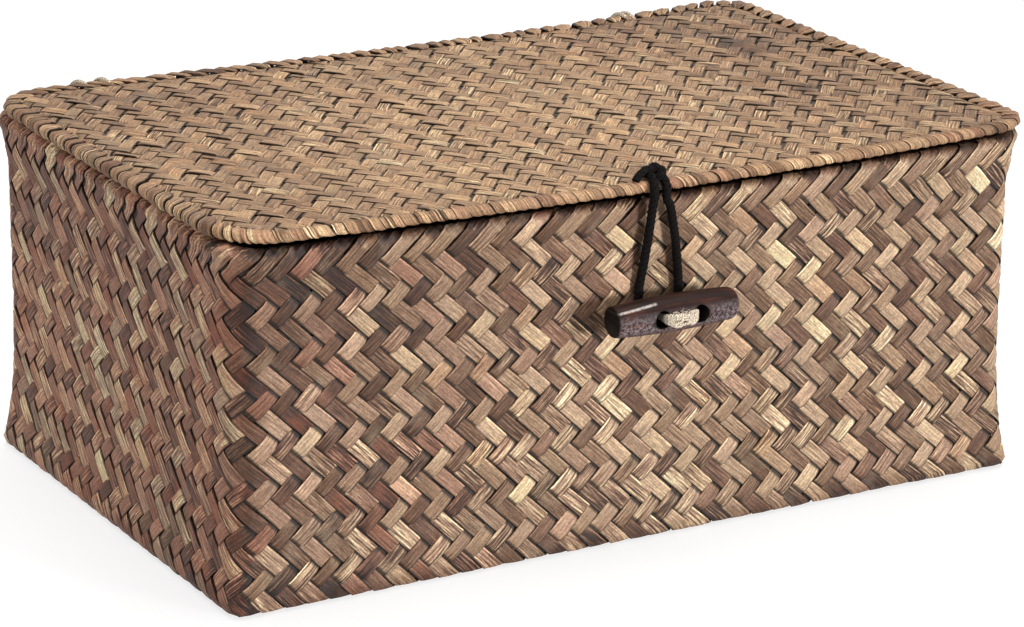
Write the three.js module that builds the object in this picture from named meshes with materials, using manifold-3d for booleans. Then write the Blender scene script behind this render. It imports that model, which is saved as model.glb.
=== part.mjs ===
// Woven lidded box with a wooden toggle, a cord loop and twine hinges.
// Millimetres. +Z is up, +X runs along the length, the front faces -Y.
// The origin is the centre of the underside of the base.
import * as THREE from 'three';
import { mergeVertices } from 'three/addons/utils/BufferGeometryUtils.js';
import Module from 'manifold-3d';

// Overall sizes
const overallHeight = 117;
const lidLength = 280;
const lidWidth = 174.5;

// Corners of the lid, each rounded by hand to its own radius
const lidBackRightRadius = 14;
const lidBackLeftRadius = 19;
const lidFrontLeftRadius = 19.5;
const lidFrontRightRadius = 11.5;

// Shape of the woven body
const lidOverhang = 2.7;
const rimCornerRadius = 9;
const footCornerRadius = 3.7;
const cornerFadeHeight = 50;
const waistInset = 0.5;
const footFlare = 1.8;
const footFlareHeight = 30;
const baseEdgeRadius = 3;
const rimBulge = 0.8;
const rimBandHeight = 8;

// Layers of weave
const outerSkin = 2;
const innerSkin = 2;
const foldSkin = 1.8;
const rimFoldDepth = 12;
const lidSkin = 1.3;
const lidLining = 1.8;
const lidBorder = 9;
const layerGap = 0.3;
const restGap = 0.3;

// Twine hinges on the back edge
const twineDiameter = 1.8;
const hingeClearance = 0.35;
const hingeSetBack = 1.85;
const hingeDrop = 2;
const hingeTurns = 2;
const leftHingeInset = 35.8;
const leftHingePitch = 8;
const rightHingeInset = 45;
const rightHingePitch = 2.4;

// Wooden toggle and its twine tie on the front wall
const toggleOffset = 3.4;
const toggleHeight = 75.8;
const toggleStandOff = 5.3;
const toggleLength = 43.2;
const toggleMiddleDiameter = 11.4;
const toggleEndDiameter = 10;
const toggleHoleDiameter = 5.6;
const toggleHoleSpacing = 13.2;
const tieDiameter = 2.6;
const tieBend = 2.2;
const tieStem = 1.4;
const tieKnotDiameter = 8.4;
const tieKnotDepth = 5;
const tieGap = 0.4;

// Cord loop on the lid
const cordDiameter = 2.6;
const cordGap = 0.3;
const loopOffset = 1.8;
const loopStrandSpacing = 4.4;
const neckSpacing = 3;
const bightOffset = 3.9;
const loopWidth = 13.8;
const loopSwell = 0.7;
const knotWidth = 8;
const knotLength = 11;
const knotHeight = 5;
const knotSetBack = 7.6;
const stemDiameter = 2.8;
const stemSetBack = 12;
const stopKnotDiameter = 4.8;
const tailLength = 6.5;

// Facets
const cornerSteps = 5;
const foldSteps = 6;
const roundSides = 24;

const wasm = await Module();
wasm.setup();

// Heights and thicknesses that follow from the layers
const lidThickness = lidSkin + layerGap + lidLining + layerGap + lidSkin;
const lidUnderside = overallHeight - lidThickness;
const lidRoll = lidThickness / 2;
const rimTop = lidUnderside - restGap;
const rimThickness = outerSkin + layerGap + innerSkin + layerGap + foldSkin;
const rimRoll = rimThickness / 2;
const wallThickness = outerSkin + layerGap + innerSkin;

// Half sizes of the body's outer face at a height: squarer and flared at the foot, thicker in a band at the rim
function bodySection(height, inset) {
  const share = height / rimTop;
  const pinch = waistInset * 4 * share * (1 - share);
  const flare = footFlare * Math.max(0, 1 - height / footFlareHeight) ** 2;
  const fade = Math.max(0, 1 - height / cornerFadeHeight) ** 2;
  const bandFoot = rimTop - 2 * rimBandHeight;
  const band = rimBulge * THREE.MathUtils.smoothstep(height, bandFoot, bandFoot + rimBandHeight);
  const grow = flare + band - pinch - lidOverhang - inset;
  const radius = Math.max(rimCornerRadius + (footCornerRadius - rimCornerRadius) * fade - inset, 0.6);
  return { x: lidLength / 2 + grow, y: lidWidth / 2 + grow, radii: [radius, radius, radius, radius] };
}

// Half sizes of the lid's outline, drawn in by an inset
function lidSection(inset) {
  const corners = [lidBackRightRadius, lidBackLeftRadius, lidFrontLeftRadius, lidFrontRightRadius];
  const radii = corners.map((radius) => Math.max(radius - inset, 0.6));
  return { x: lidLength / 2 - inset, y: lidWidth / 2 - inset, radii };
}

// One level loop of points round a rectangle with rounded corners, anticlockwise from above
function loopAt(section, height) {
  const points = [];
  const corners = [[1, 1, 0], [-1, 1, 90], [-1, -1, 180], [1, -1, 270]];
  corners.forEach(([sideX, sideY, start], corner) => {
    const radius = section.radii[corner];
    for (let step = 0; step <= cornerSteps; step += 1) {
      const angle = THREE.MathUtils.degToRad(start + (90 * step) / cornerSteps);
      points.push(new THREE.Vector3(
        sideX * (section.x - radius) + radius * Math.cos(angle),
        sideY * (section.y - radius) + radius * Math.sin(angle),
        height,
      ));
    }
  });
  return points;
}

// Skins a row of loops. An open row is closed by a flat face at each end, a closed row runs back into itself.
function skinLoops(loops, isRing) {
  const count = loops[0].length;
  const positions = loops.flat().flatMap((point) => [point.x, point.y, point.z]);
  const index = [];
  const last = isRing ? loops.length : loops.length - 1;
  for (let row = 0; row < last; row += 1) {
    const here = row * count;
    const above = ((row + 1) % loops.length) * count;
    for (let step = 0; step < count; step += 1) {
      const next = (step + 1) % count;
      index.push(here + step, here + next, above + next);
      index.push(here + step, above + next, above + step);
    }
  }
  if (!isRing) {
    const lower = positions.length / 3;
    positions.push(0, 0, loops[0][0].z);
    positions.push(0, 0, loops.at(-1)[0].z);
    const top = (loops.length - 1) * count;
    for (let step = 0; step < count; step += 1) {
      const next = (step + 1) % count;
      index.push(lower, next, step);
      index.push(lower + 1, top + step, top + next);
    }
  }
  const geometry = new THREE.BufferGeometry();
  geometry.setAttribute('position', new THREE.Float32BufferAttribute(positions, 3));
  geometry.setIndex(index);
  return geometry;
}

// Merges shared points and turns the faces outwards
function closedGeometry(geometry) {
  const bare = geometry.clone();
  bare.deleteAttribute('normal');
  bare.deleteAttribute('uv');
  const merged = mergeVertices(bare, 1e-4);
  const point = merged.getAttribute('position');
  const kept = [];
  let volume = 0;
  const a = new THREE.Vector3();
  const b = new THREE.Vector3();
  const c = new THREE.Vector3();
  for (let face = 0; face < merged.index.count; face += 3) {
    const [i, j, k] = [0, 1, 2].map((corner) => merged.index.getX(face + corner));
    if (i !== j && j !== k && k !== i) {
      kept.push(i, j, k);
      volume += a.fromBufferAttribute(point, i).dot(
        b.fromBufferAttribute(point, j).cross(c.fromBufferAttribute(point, k)),
      );
    }
  }
  merged.setIndex(volume < 0 ? kept.reverse() : kept);
  return merged;
}

function solid(geometry) {
  const closed = closedGeometry(geometry);
  return new wasm.Manifold(new wasm.Mesh({
    numProp: 3,
    vertProperties: new Float32Array(closed.getAttribute('position').array),
    triVerts: new Uint32Array(closed.index.array),
  }));
}

function surface(body) {
  const mesh = body.getMesh();
  const geometry = new THREE.BufferGeometry();
  geometry.setAttribute('position', new THREE.Float32BufferAttribute(mesh.vertProperties, 3));
  geometry.setIndex(Array.from(mesh.triVerts));
  return geometry;
}

function cut(geometry, ...tools) {
  return surface(tools.reduce((body, tool) => body.subtract(solid(tool)), solid(geometry)));
}

function join(geometry, ...others) {
  return surface(others.reduce((body, other) => body.add(solid(other)), solid(geometry)));
}

// A round tube along points
function tube(points, diameter, sides, steps) {
  const ring = new THREE.Shape();
  for (let side = 0; side < sides; side += 1) {
    const angle = (2 * Math.PI * side) / sides;
    const place = [(diameter / 2) * Math.cos(angle), (diameter / 2) * Math.sin(angle)];
    if (side === 0) ring.moveTo(...place);
    else ring.lineTo(...place);
  }
  ring.closePath();
  const path = new THREE.CatmullRomCurve3(points, false, 'centripetal');
  path.arcLengthDivisions = 1200;
  return closedGeometry(new THREE.ExtrudeGeometry(ring, { steps, bevelEnabled: false, extrudePath: path }));
}

// A cylinder along X, Y or Z between two places
function rod(axis, diameter, from, to, place) {
  const geometry = new THREE.CylinderGeometry(diameter / 2, diameter / 2, to - from, roundSides);
  if (axis === 'x') geometry.rotateZ(Math.PI / 2);
  if (axis === 'z') geometry.rotateX(Math.PI / 2);
  const middle = (from + to) / 2;
  const centre = { x: [middle, ...place], y: [place[0], middle, place[1]], z: [...place, middle] }[axis];
  return geometry.translate(...centre);
}

function ellipsoid(width, length, height, place) {
  const geometry = new THREE.SphereGeometry(0.5, 16, 10);
  geometry.scale(width, height, length);
  geometry.rotateX(Math.PI / 2);
  return geometry.translate(...place);
}

// Heights between two levels, evenly spaced
function levels(from, to, count) {
  return Array.from({ length: count + 1 }, (_, step) => from + ((to - from) * step) / count);
}

// Outer weave: base, walls and the fold over the rim, which leaves a slot for the lining and the rim cane
const outerLoops = [];
for (const angle of levels(0, 90, 3)) {
  const turn = THREE.MathUtils.degToRad(angle);
  const height = baseEdgeRadius * (1 - Math.cos(turn));
  const inset = baseEdgeRadius * (1 - Math.sin(turn));
  outerLoops.push(loopAt(bodySection(height, inset), height));
}
const rimFoldHeight = rimTop - rimRoll;
for (const height of levels(baseEdgeRadius, footFlareHeight, 4).slice(1)) {
  outerLoops.push(loopAt(bodySection(height, 0), height));
}
for (const height of levels(footFlareHeight, rimFoldHeight, 5).slice(1)) {
  outerLoops.push(loopAt(bodySection(height, 0), height));
}
for (const angle of levels(0, 180, foldSteps).slice(1)) {
  const turn = THREE.MathUtils.degToRad(angle);
  const height = rimFoldHeight + rimRoll * Math.sin(turn);
  outerLoops.push(loopAt(bodySection(height, rimRoll * (1 - Math.cos(turn))), height));
}
const slotInner = outerSkin + layerGap + innerSkin + layerGap;
const slotTop = rimTop - foldSkin;
const foldFoot = rimTop - rimFoldDepth;
outerLoops.push(loopAt(bodySection(foldFoot, rimThickness), foldFoot));
outerLoops.push(loopAt(bodySection(foldFoot, slotInner), foldFoot));
outerLoops.push(loopAt(bodySection(slotTop, slotInner), slotTop));
outerLoops.push(loopAt(bodySection(slotTop, outerSkin), slotTop));
for (const height of levels(slotTop, footFlareHeight, 5).slice(1)) {
  outerLoops.push(loopAt(bodySection(height, outerSkin), height));
}
for (const height of levels(footFlareHeight, outerSkin, 4).slice(1)) {
  outerLoops.push(loopAt(bodySection(height, outerSkin), height));
}

// Lining: inner walls and inner base, tucked up under the rim cane
const liningFoot = outerSkin + layerGap;
const liningFloor = liningFoot + innerSkin;
const liningTop = slotTop - layerGap - innerSkin - layerGap;
const liningLoops = [];
for (const height of [...levels(liningFoot, footFlareHeight, 4), ...levels(footFlareHeight, liningTop, 5).slice(1)]) {
  liningLoops.push(loopAt(bodySection(height, outerSkin + layerGap), height));
}
for (const height of [...levels(liningTop, footFlareHeight, 5), ...levels(footFlareHeight, liningFloor, 4).slice(1)]) {
  liningLoops.push(loopAt(bodySection(height, wallThickness), height));
}

// A cane hoop that fills the slot of a fold
function hoop(sectionOf, inset, height, diameter) {
  const loops = [];
  for (let side = 0; side < 8; side += 1) {
    const angle = -Math.PI / 2 + (2 * Math.PI * side) / 8;
    const level = height + (diameter / 2) * Math.sin(angle);
    loops.push(loopAt(sectionOf(level, inset - (diameter / 2) * Math.cos(angle)), level));
  }
  return skinLoops(loops, true);
}
const rimCaneInset = outerSkin + layerGap + innerSkin / 2;
const rimCaneHeight = slotTop - layerGap - innerSkin / 2;
const rimCane = hoop(bodySection, rimCaneInset, rimCaneHeight, innerSkin);

// Lid: the upper weave rolls over the edge cane and back under the lining
const lidRollHeight = overallHeight - lidRoll;
const lidSlotFoot = lidUnderside + lidSkin;
const lidSlotTop = overallHeight - lidSkin;
const lidLoops = [
  loopAt(lidSection(lidBorder), lidSlotTop),
  loopAt(lidSection(lidSkin), lidSlotTop),
  loopAt(lidSection(lidSkin), lidSlotFoot),
  loopAt(lidSection(lidBorder), lidSlotFoot),
  loopAt(lidSection(lidBorder), lidUnderside),
];
for (const angle of levels(-90, 90, foldSteps)) {
  const turn = THREE.MathUtils.degToRad(angle);
  lidLoops.push(loopAt(lidSection(lidRoll * (1 - Math.cos(turn))), lidRollHeight + lidRoll * Math.sin(turn)));
}
const lidCane = hoop((level, inset) => lidSection(inset), lidRoll, lidRollHeight, lidLining);
const liningEdge = lidRoll + lidLining / 2 + layerGap;
const lidLiningFoot = lidSlotFoot + layerGap;
const lidLiningLoops = [
  loopAt(lidSection(liningEdge), lidLiningFoot),
  loopAt(lidSection(liningEdge), lidLiningFoot + lidLining),
];

// Hinge line: just behind the rolled edge, so that the lid turns right over on rings of twine
const hingeY = lidWidth / 2 - lidRoll + hingeSetBack;
const hingeZ = (rimTop + lidUnderside) / 2 - hingeDrop;
const rimCaneY = bodySection(rimCaneHeight, rimCaneInset).y;
const rimCaneReach = Math.hypot(rimCaneY - hingeY, rimCaneHeight - hingeZ) + innerSkin / 2;
const lidCaneReach = Math.hypot(hingeSetBack, lidRollHeight - hingeZ) + lidLining / 2;
const twineRing = Math.max(rimCaneReach, lidCaneReach) + hingeClearance + twineDiameter / 2;

// The twine starts and ends inside the back wall
const twineStart = -125;
function hingePoints(middle, pitch) {
  const points = [];
  const steps = 24 * hingeTurns;
  for (let step = 0; step <= steps; step += 1) {
    const turn = THREE.MathUtils.degToRad(twineStart + (360 * step) / 24);
    points.push(new THREE.Vector3(
      middle + pitch * (step / 24 - hingeTurns / 2),
      hingeY + twineRing * Math.cos(turn),
      hingeZ + twineRing * Math.sin(turn),
    ));
  }
  const first = points[0].clone().sub(points[1]).setLength(twineDiameter).add(points[0]);
  const last = points.at(-1).clone().sub(points.at(-2)).setLength(twineDiameter).add(points.at(-1));
  return [first, ...points, last];
}

// Least clear space between turns of a wound tube, measured on its points
function leastGap(points, diameter) {
  let least = Infinity;
  for (let here = 0; here < points.length; here += 1) {
    for (let other = here + 8; other < points.length; other += 1) {
      least = Math.min(least, points[here].distanceTo(points[other]) - diameter);
    }
  }
  return least;
}

// The slot that a hinge's twine runs in, through the lid and through the back wall
function hingeSlot(middle, pitch) {
  const reach = twineDiameter / 2 + hingeClearance;
  const half = (pitch * hingeTurns) / 2 + reach;
  const profile = [
    new THREE.Vector2(twineRing - reach, -half),
    new THREE.Vector2(twineRing + reach, -half),
    new THREE.Vector2(twineRing + reach, half),
    new THREE.Vector2(twineRing - reach, half),
    new THREE.Vector2(twineRing - reach, -half),
  ];
  const geometry = new THREE.LatheGeometry(profile, 48);
  geometry.rotateZ(Math.PI / 2);
  return geometry.translate(middle, hingeY, hingeZ);
}
const leftHingeX = -lidLength / 2 + leftHingeInset;
const rightHingeX = lidLength / 2 - rightHingeInset;
const leftHingePath = hingePoints(leftHingeX, leftHingePitch);
const rightHingePath = hingePoints(rightHingeX, rightHingePitch);
console.log('least gap in the left hinge winding, mm', leastGap(leftHingePath, twineDiameter).toFixed(2));
console.log('least gap in the right hinge winding, mm', leastGap(rightHingePath, twineDiameter).toFixed(2));
const hingeSlots = [hingeSlot(leftHingeX, leftHingePitch), hingeSlot(rightHingeX, rightHingePitch)];

// Toggle: a barrel of wood lying across the front wall, clear of the cord behind it
const wallFaceY = -bodySection(toggleHeight, 0).y;
const wallInsideY = wallFaceY + wallThickness;
const toggleY = wallFaceY - toggleStandOff - toggleMiddleDiameter / 2;
function toggleRadius(along) {
  const share = along / (toggleLength / 2);
  return toggleMiddleDiameter / 2 - ((toggleMiddleDiameter - toggleEndDiameter) / 2) * share * share;
}
const endRound = toggleEndDiameter * 0.3;
const endBevel = toggleEndDiameter * 0.06;
const toggleProfile = [new THREE.Vector2(0, -toggleLength / 2)];
toggleProfile.push(new THREE.Vector2(toggleEndDiameter / 2 - endBevel, -toggleLength / 2));
for (const along of levels(-toggleLength / 2 + endBevel, toggleLength / 2 - endRound, 10)) {
  toggleProfile.push(new THREE.Vector2(toggleRadius(along), along));
}
for (const angle of levels(0, 90, 4).slice(1)) {
  const turn = THREE.MathUtils.degToRad(angle);
  const flat = toggleRadius(toggleLength / 2 - endRound) - endRound;
  toggleProfile.push(new THREE.Vector2(
    flat + endRound * Math.cos(turn),
    toggleLength / 2 - endRound + endRound * Math.sin(turn),
  ));
}
toggleProfile.push(new THREE.Vector2(0, toggleLength / 2));
const toggleBlank = new THREE.LatheGeometry(toggleProfile, roundSides);
toggleBlank.rotateZ(-Math.PI / 2);
toggleBlank.translate(toggleOffset, toggleY, toggleHeight);
const holeReach = toggleMiddleDiameter;
const toggleHoles = [-1, 1].map((side) => rod(
  'y',
  toggleHoleDiameter,
  toggleY - holeReach,
  toggleY + holeReach,
  [toggleOffset + (side * toggleHoleSpacing) / 2, toggleHeight],
));

// Tie: twine out of the wall, through one hole, across the front of the toggle and back through the other
const strandOffset = tieDiameter / 2 + tieGap / 2;
const wallHoleDiameter = 2 * (strandOffset + tieDiameter / 2 + layerGap);
const tieFrontY = toggleY - toggleMiddleDiameter / 2 - layerGap - tieDiameter / 2;
const toggleBackY = toggleY + toggleMiddleDiameter / 2;
function tiePoints() {
  const half = [
    [strandOffset, wallInsideY],
    [strandOffset, wallInsideY - wallThickness * 0.5],
    [strandOffset, wallFaceY - tieStem],
    [(strandOffset + toggleHoleSpacing / 2) / 2, (wallFaceY - tieStem + toggleBackY) / 2],
    [toggleHoleSpacing / 2, toggleBackY],
    [toggleHoleSpacing / 2, toggleY],
    [toggleHoleSpacing / 2, tieFrontY + tieBend],
  ];
  for (const angle of levels(0, 90, 4).slice(1)) {
    const turn = THREE.MathUtils.degToRad(angle);
    half.push([
      toggleHoleSpacing / 2 - tieBend * (1 - Math.cos(turn)),
      tieFrontY + tieBend * (1 - Math.sin(turn)),
    ]);
  }
  const right = half.map(([along, y]) => new THREE.Vector3(toggleOffset + along, y, toggleHeight));
  const left = half.map(([along, y]) => new THREE.Vector3(toggleOffset - along, y, toggleHeight));
  return [...left, new THREE.Vector3(toggleOffset, tieFrontY, toggleHeight), ...right.reverse()];
}
const tieKnot = ellipsoid(
  tieKnotDiameter,
  2 * tieKnotDepth,
  tieKnotDiameter,
  [toggleOffset, wallInsideY + layerGap, toggleHeight],
);
const knotClip = new THREE.BoxGeometry(2 * tieKnotDiameter, 2 * tieKnotDepth, 2 * tieKnotDiameter);
knotClip.translate(toggleOffset, wallInsideY + layerGap - tieKnotDepth, toggleHeight);
const wallHole = rod(
  'y',
  wallHoleDiameter,
  wallFaceY - wallThickness,
  wallInsideY + wallThickness,
  [toggleOffset, toggleHeight],
);

// Loop: a knot drawn through the lid, two strands over the rolled edge, and a bight hooked under the toggle's tie
const lidFrontY = -lidWidth / 2;
const rollY = lidFrontY + lidRoll;
const strandRing = lidRoll + cordGap + cordDiameter / 2;
const knotY = lidFrontY + knotSetBack;
const knotFrontY = rollY + cordGap;
const knotZ = overallHeight + cordGap + knotHeight / 2;
const stemY = lidFrontY + stemSetBack;
const stopTop = lidLiningFoot - layerGap;
const stopKnot = ellipsoid(
  stopKnotDiameter,
  stopKnotDiameter,
  stopKnotDiameter,
  [loopOffset, stemY, stopTop - stopKnotDiameter / 2],
);
const stem = rod('z', stemDiameter, stopTop - stopKnotDiameter / 2, knotZ, [loopOffset, stemY]);
const stemHole = rod(
  'z',
  stemDiameter + 2 * cordGap,
  lidUnderside - lidThickness,
  overallHeight + lidThickness,
  [loopOffset, stemY],
);
const tail = new THREE.CylinderGeometry(cordDiameter * 0.25, cordDiameter * 0.42, tailLength, 8);
tail.rotateZ(Math.PI / 2);
tail.translate(loopOffset - knotWidth / 4 - tailLength / 2, knotY - knotLength / 8, knotZ - knotHeight / 8);
const knotBlank = ellipsoid(knotWidth, knotLength, knotHeight, [loopOffset, knotY, knotZ]);
const knotFrontClip = new THREE.BoxGeometry(4 * knotWidth, knotLength, 4 * knotHeight);
knotFrontClip.translate(loopOffset, knotFrontY - knotLength / 2, knotZ);
const loopKnot = cut(join(knotBlank, stem, stopKnot, tail), knotFrontClip);

// A strand over the edge, which spreads away from its neighbour on the way down
function neckPoints(side) {
  return levels(90, 180, 6).map((angle) => {
    const turn = THREE.MathUtils.degToRad(angle);
    const spread = THREE.MathUtils.smoothstep(angle, 90, 180);
    const spacing = neckSpacing + (loopStrandSpacing - neckSpacing) * spread;
    return new THREE.Vector3(
      loopOffset + (side * spacing) / 2,
      rollY + strandRing * Math.cos(turn),
      lidRollHeight + strandRing * Math.sin(turn),
    );
  });
}

// The legs lean in from the lid's edge to the wall and meet in a half circle round the tie
const legTop = lidRollHeight - cordGap;
const legHalf = loopWidth / 2;
function cordFaceY(height) {
  return -bodySection(height, 0).y - cordGap - cordDiameter / 2;
}
function legPoints(side) {
  const strandX = loopOffset + (side * loopStrandSpacing) / 2;
  const wallX = bightOffset + side * legHalf;
  const edgeY = rollY - strandRing;
  const lowZ = toggleHeight + toggleMiddleDiameter * 0.6;
  const lowY = cordFaceY(lowZ);
  const points = [
    new THREE.Vector3(strandX, edgeY, legTop),
    new THREE.Vector3(strandX, edgeY, legTop - cordDiameter),
  ];
  for (const share of [0.16, 0.35, 0.6, 0.82]) {
    const swell = loopSwell * Math.sin(Math.PI * share) * (side > 0 ? 1 : 0.5);
    points.push(new THREE.Vector3(
      strandX + (wallX - strandX) * share + swell,
      edgeY + (lowY - edgeY) * Math.max(0, share - 0.06) / 0.94,
      legTop + (lowZ - legTop) * share,
    ));
  }
  points.push(new THREE.Vector3(wallX, lowY, lowZ));
  points.push(new THREE.Vector3(wallX, cordFaceY(toggleHeight), toggleHeight));
  return points;
}
const bight = [];
for (const angle of levels(180, 360, 8).slice(1, -1)) {
  const turn = THREE.MathUtils.degToRad(angle);
  const height = toggleHeight + legHalf * Math.sin(turn);
  bight.push(new THREE.Vector3(bightOffset + legHalf * Math.cos(turn), cordFaceY(height), height));
}
const leftNeck = neckPoints(-1);
const rightNeck = neckPoints(1);
const legRoute = [...legPoints(-1), ...bight, ...legPoints(1).reverse()];
const loopRoute = [...leftNeck, ...legRoute, ...[...rightNeck].reverse()];
const loopLength = new THREE.CatmullRomCurve3(loopRoute, false, 'centripetal').getLength();
console.log('length of the loop cord, mm', loopLength.toFixed(1));

// Finishes
const finishes = {
  weave: { color: 0x9c7b56, roughness: 0.75, metalness: 0 },
  lidWeave: { color: 0xb2946c, roughness: 0.75, metalness: 0 },
  lining: { color: 0xa88a63, roughness: 0.8, metalness: 0 },
  cane: { color: 0xb89a6a, roughness: 0.6, metalness: 0 },
  twine: { color: 0xe4dcc6, roughness: 0.9, metalness: 0 },
  wood: { color: 0x4a2c22, roughness: 0.45, metalness: 0 },
  cord: { color: 0x14110f, roughness: 0.7, metalness: 0 },
};

function piece(name, geometry, finish) {
  geometry.computeVertexNormals();
  const mesh = new THREE.Mesh(geometry, new THREE.MeshStandardMaterial(finish));
  mesh.name = name;
  return mesh;
}

const box = new THREE.Group();
box.add(
  piece('outer_weave', cut(skinLoops(outerLoops, false), ...hingeSlots, wallHole), finishes.weave),
  piece('inner_weave', cut(skinLoops(liningLoops, false), ...hingeSlots, wallHole), finishes.lining),
  piece('rim_cane', rimCane, finishes.cane),
  piece('hinge_tie_left', tube(leftHingePath, twineDiameter, 6, leftHingePath.length - 1), finishes.twine),
  piece('hinge_tie_right', tube(rightHingePath, twineDiameter, 6, rightHingePath.length - 1), finishes.twine),
);

const lid = new THREE.Group();
lid.add(
  piece('lid_upper_weave', cut(skinLoops(lidLoops, false), ...hingeSlots, stemHole), finishes.lidWeave),
  piece('lid_lower_weave', cut(skinLoops(lidLiningLoops, false), ...hingeSlots, stemHole), finishes.lining),
  piece('lid_cane', lidCane, finishes.cane),
  piece('loop_knot', loopKnot, finishes.cord),
  piece('loop_neck_left', tube(leftNeck, cordDiameter, 8, 10), finishes.cord),
  piece('loop_neck_right', tube(rightNeck, cordDiameter, 8, 10), finishes.cord),
);

const loop = new THREE.Group();
loop.add(piece('loop_legs', tube(legRoute, cordDiameter, 8, 44), finishes.cord));

const toggle = new THREE.Group();
toggle.add(
  piece('toggle_bar', cut(toggleBlank, ...toggleHoles), finishes.wood),
  piece('toggle_tie', tube(tiePoints(), tieDiameter, 8, 56), finishes.twine),
  piece('toggle_knot', cut(tieKnot, knotClip), finishes.twine),
);

const wovenBox = new THREE.Group();
wovenBox.add(box, lid, loop, toggle);

export default wovenBox;
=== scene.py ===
"""Dresses a woven box with a hinged lid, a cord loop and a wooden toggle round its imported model."""

from __future__ import annotations

import logging
import math
from dataclasses import dataclass, field, replace
from enum import Enum

import bmesh
import bpy
import numpy as np
from mathutils import Matrix, Vector

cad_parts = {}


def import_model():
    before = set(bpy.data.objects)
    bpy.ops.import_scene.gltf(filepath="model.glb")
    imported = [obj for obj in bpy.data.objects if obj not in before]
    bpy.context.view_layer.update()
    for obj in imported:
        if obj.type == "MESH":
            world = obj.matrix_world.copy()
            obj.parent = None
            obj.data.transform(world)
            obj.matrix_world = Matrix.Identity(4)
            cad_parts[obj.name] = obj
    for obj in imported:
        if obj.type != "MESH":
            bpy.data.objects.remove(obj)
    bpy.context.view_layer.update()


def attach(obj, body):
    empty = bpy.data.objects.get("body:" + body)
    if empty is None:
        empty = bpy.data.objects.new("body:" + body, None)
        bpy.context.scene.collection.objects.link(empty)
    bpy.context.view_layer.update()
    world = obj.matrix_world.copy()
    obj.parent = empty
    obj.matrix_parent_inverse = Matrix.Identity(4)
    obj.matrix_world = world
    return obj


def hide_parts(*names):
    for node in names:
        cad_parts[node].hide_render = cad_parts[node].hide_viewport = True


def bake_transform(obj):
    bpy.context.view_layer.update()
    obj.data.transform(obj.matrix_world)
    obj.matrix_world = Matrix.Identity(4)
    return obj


LOG = logging.getLogger("woven_box")
MM = 0.001
ROOT_TWO = math.sqrt(2.0)
QUARTER_TURN = math.pi / 2
FULL_TURN = 2.0 * math.pi
WHITE = (1.0, 1.0, 1.0, 1.0)
Array = np.ndarray
Colour = tuple[int, int, int]
Point = tuple[float, float, float]
Socket = bpy.types.NodeSocket


class Family(Enum):
    """The two sets of strips in a twill, by the way that they lean on the sheet."""

    RISING = "rising"
    FALLING = "falling"


class Rows(Enum):
    """The way that floats of one family line up: along the sheet, or up it."""

    LEVEL = -1
    UPRIGHT = 1


def eased(value: Array, start: float = 0.0, stop: float = 1.0) -> Array:
    """Goes smoothly from 0 to 1 between two values."""
    share = np.clip((value - start) / (stop - start), 0.0, 1.0)
    return share * share * (3.0 - 2.0 * share)


def mixed(first: Array, second: Array, share: Array) -> Array:
    """Goes from one value to another by a share."""
    return first + (second - first) * share


def hump(value: Array, middle: float, reach: float) -> Array:
    """Gives 1 at a value and less and less on both sides of it."""
    return np.exp(-(((value - middle) / reach) ** 2))


def quarters_from_front(share: Array) -> Array:
    """Gives the way from the middle of the front by the shorter side, in quarters of the way round."""
    return np.abs((share + 2.0) % 4.0 - 2.0)


def on_back(share: Array) -> Array:
    """Gives how far places round the box belong to its back, from 0 to 1."""
    return eased(quarters_from_front(share), 1.38, 1.44)


@dataclass(frozen=True)
class Fade:
    """A change that sets in smoothly between two places."""

    amount: float
    start: float
    stop: float

    def at(self, place: Array) -> Array:
        """Gives the change at places."""
        return self.amount * eased(place, self.start, self.stop)


@dataclass(frozen=True)
class Outline:
    """A level rectangle with rounded corners, in millimetres.

    The corner radii go front right, back right, back left and front left.
    """

    half_x: Array
    half_y: Array
    corners: tuple[Array, Array, Array, Array]

    @property
    def quarter(self) -> float:
        """A quarter of the way round."""
        return self.half_x + self.half_y - sum(self.corners) / 4 * (2.0 - QUARTER_TURN)

    def point(self, share: Array) -> tuple[Array, Array, Array, Array]:
        """Finds points on the outline.

        Args:
            share: Way round in quarters, from the middle of the front, anticlockwise from above.

        Returns:
            The points' x and y, and the outward direction's x and y.
        """
        whole = np.floor(share)
        quarter = whole.astype(int) % 4
        is_end = quarter % 2 == 1
        radius = np.choose(quarter, self.corners)
        lead = np.where(is_end, self.half_y, self.half_x) - radius
        depth = np.where(is_end, self.half_x, self.half_y) - radius
        bend = radius * QUARTER_TURN
        run = (share - whole) * (lead + bend + depth)
        angle = np.clip((run - lead) / radius, 0.0, QUARTER_TURN)
        along = np.minimum(run, lead) + radius * np.sin(angle)
        out = depth + radius * np.cos(angle) - np.maximum(0.0, run - lead - bend)
        way_x = np.array([1.0, 0.0, -1.0, 0.0])[quarter]
        way_y = np.array([0.0, 1.0, 0.0, -1.0])[quarter]
        normal_x = np.sin(angle) * way_x + np.cos(angle) * way_y
        normal_y = np.sin(angle) * way_y - np.cos(angle) * way_x
        return along * way_x + out * way_y, along * way_y - out * way_x, normal_x, normal_y

    def edge_distance(self, x: Array, y: Array) -> Array:
        """Gives the distance of points inside the outline.

        Args:
            x: The points' x.
            y: The points' y.

        Returns:
            The distances, below 0 for points outside it.
        """
        quarter = np.where(x > 0.0, np.where(y > 0.0, 1, 0), np.where(y > 0.0, 2, 3))
        corner = np.choose(quarter, self.corners)
        over_x = np.abs(x) - (self.half_x - corner)
        over_y = np.abs(y) - (self.half_y - corner)
        round_part = np.hypot(np.maximum(over_x, 0.0), np.maximum(over_y, 0.0))
        return corner - round_part - np.minimum(np.maximum(over_x, over_y), 0.0)


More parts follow.
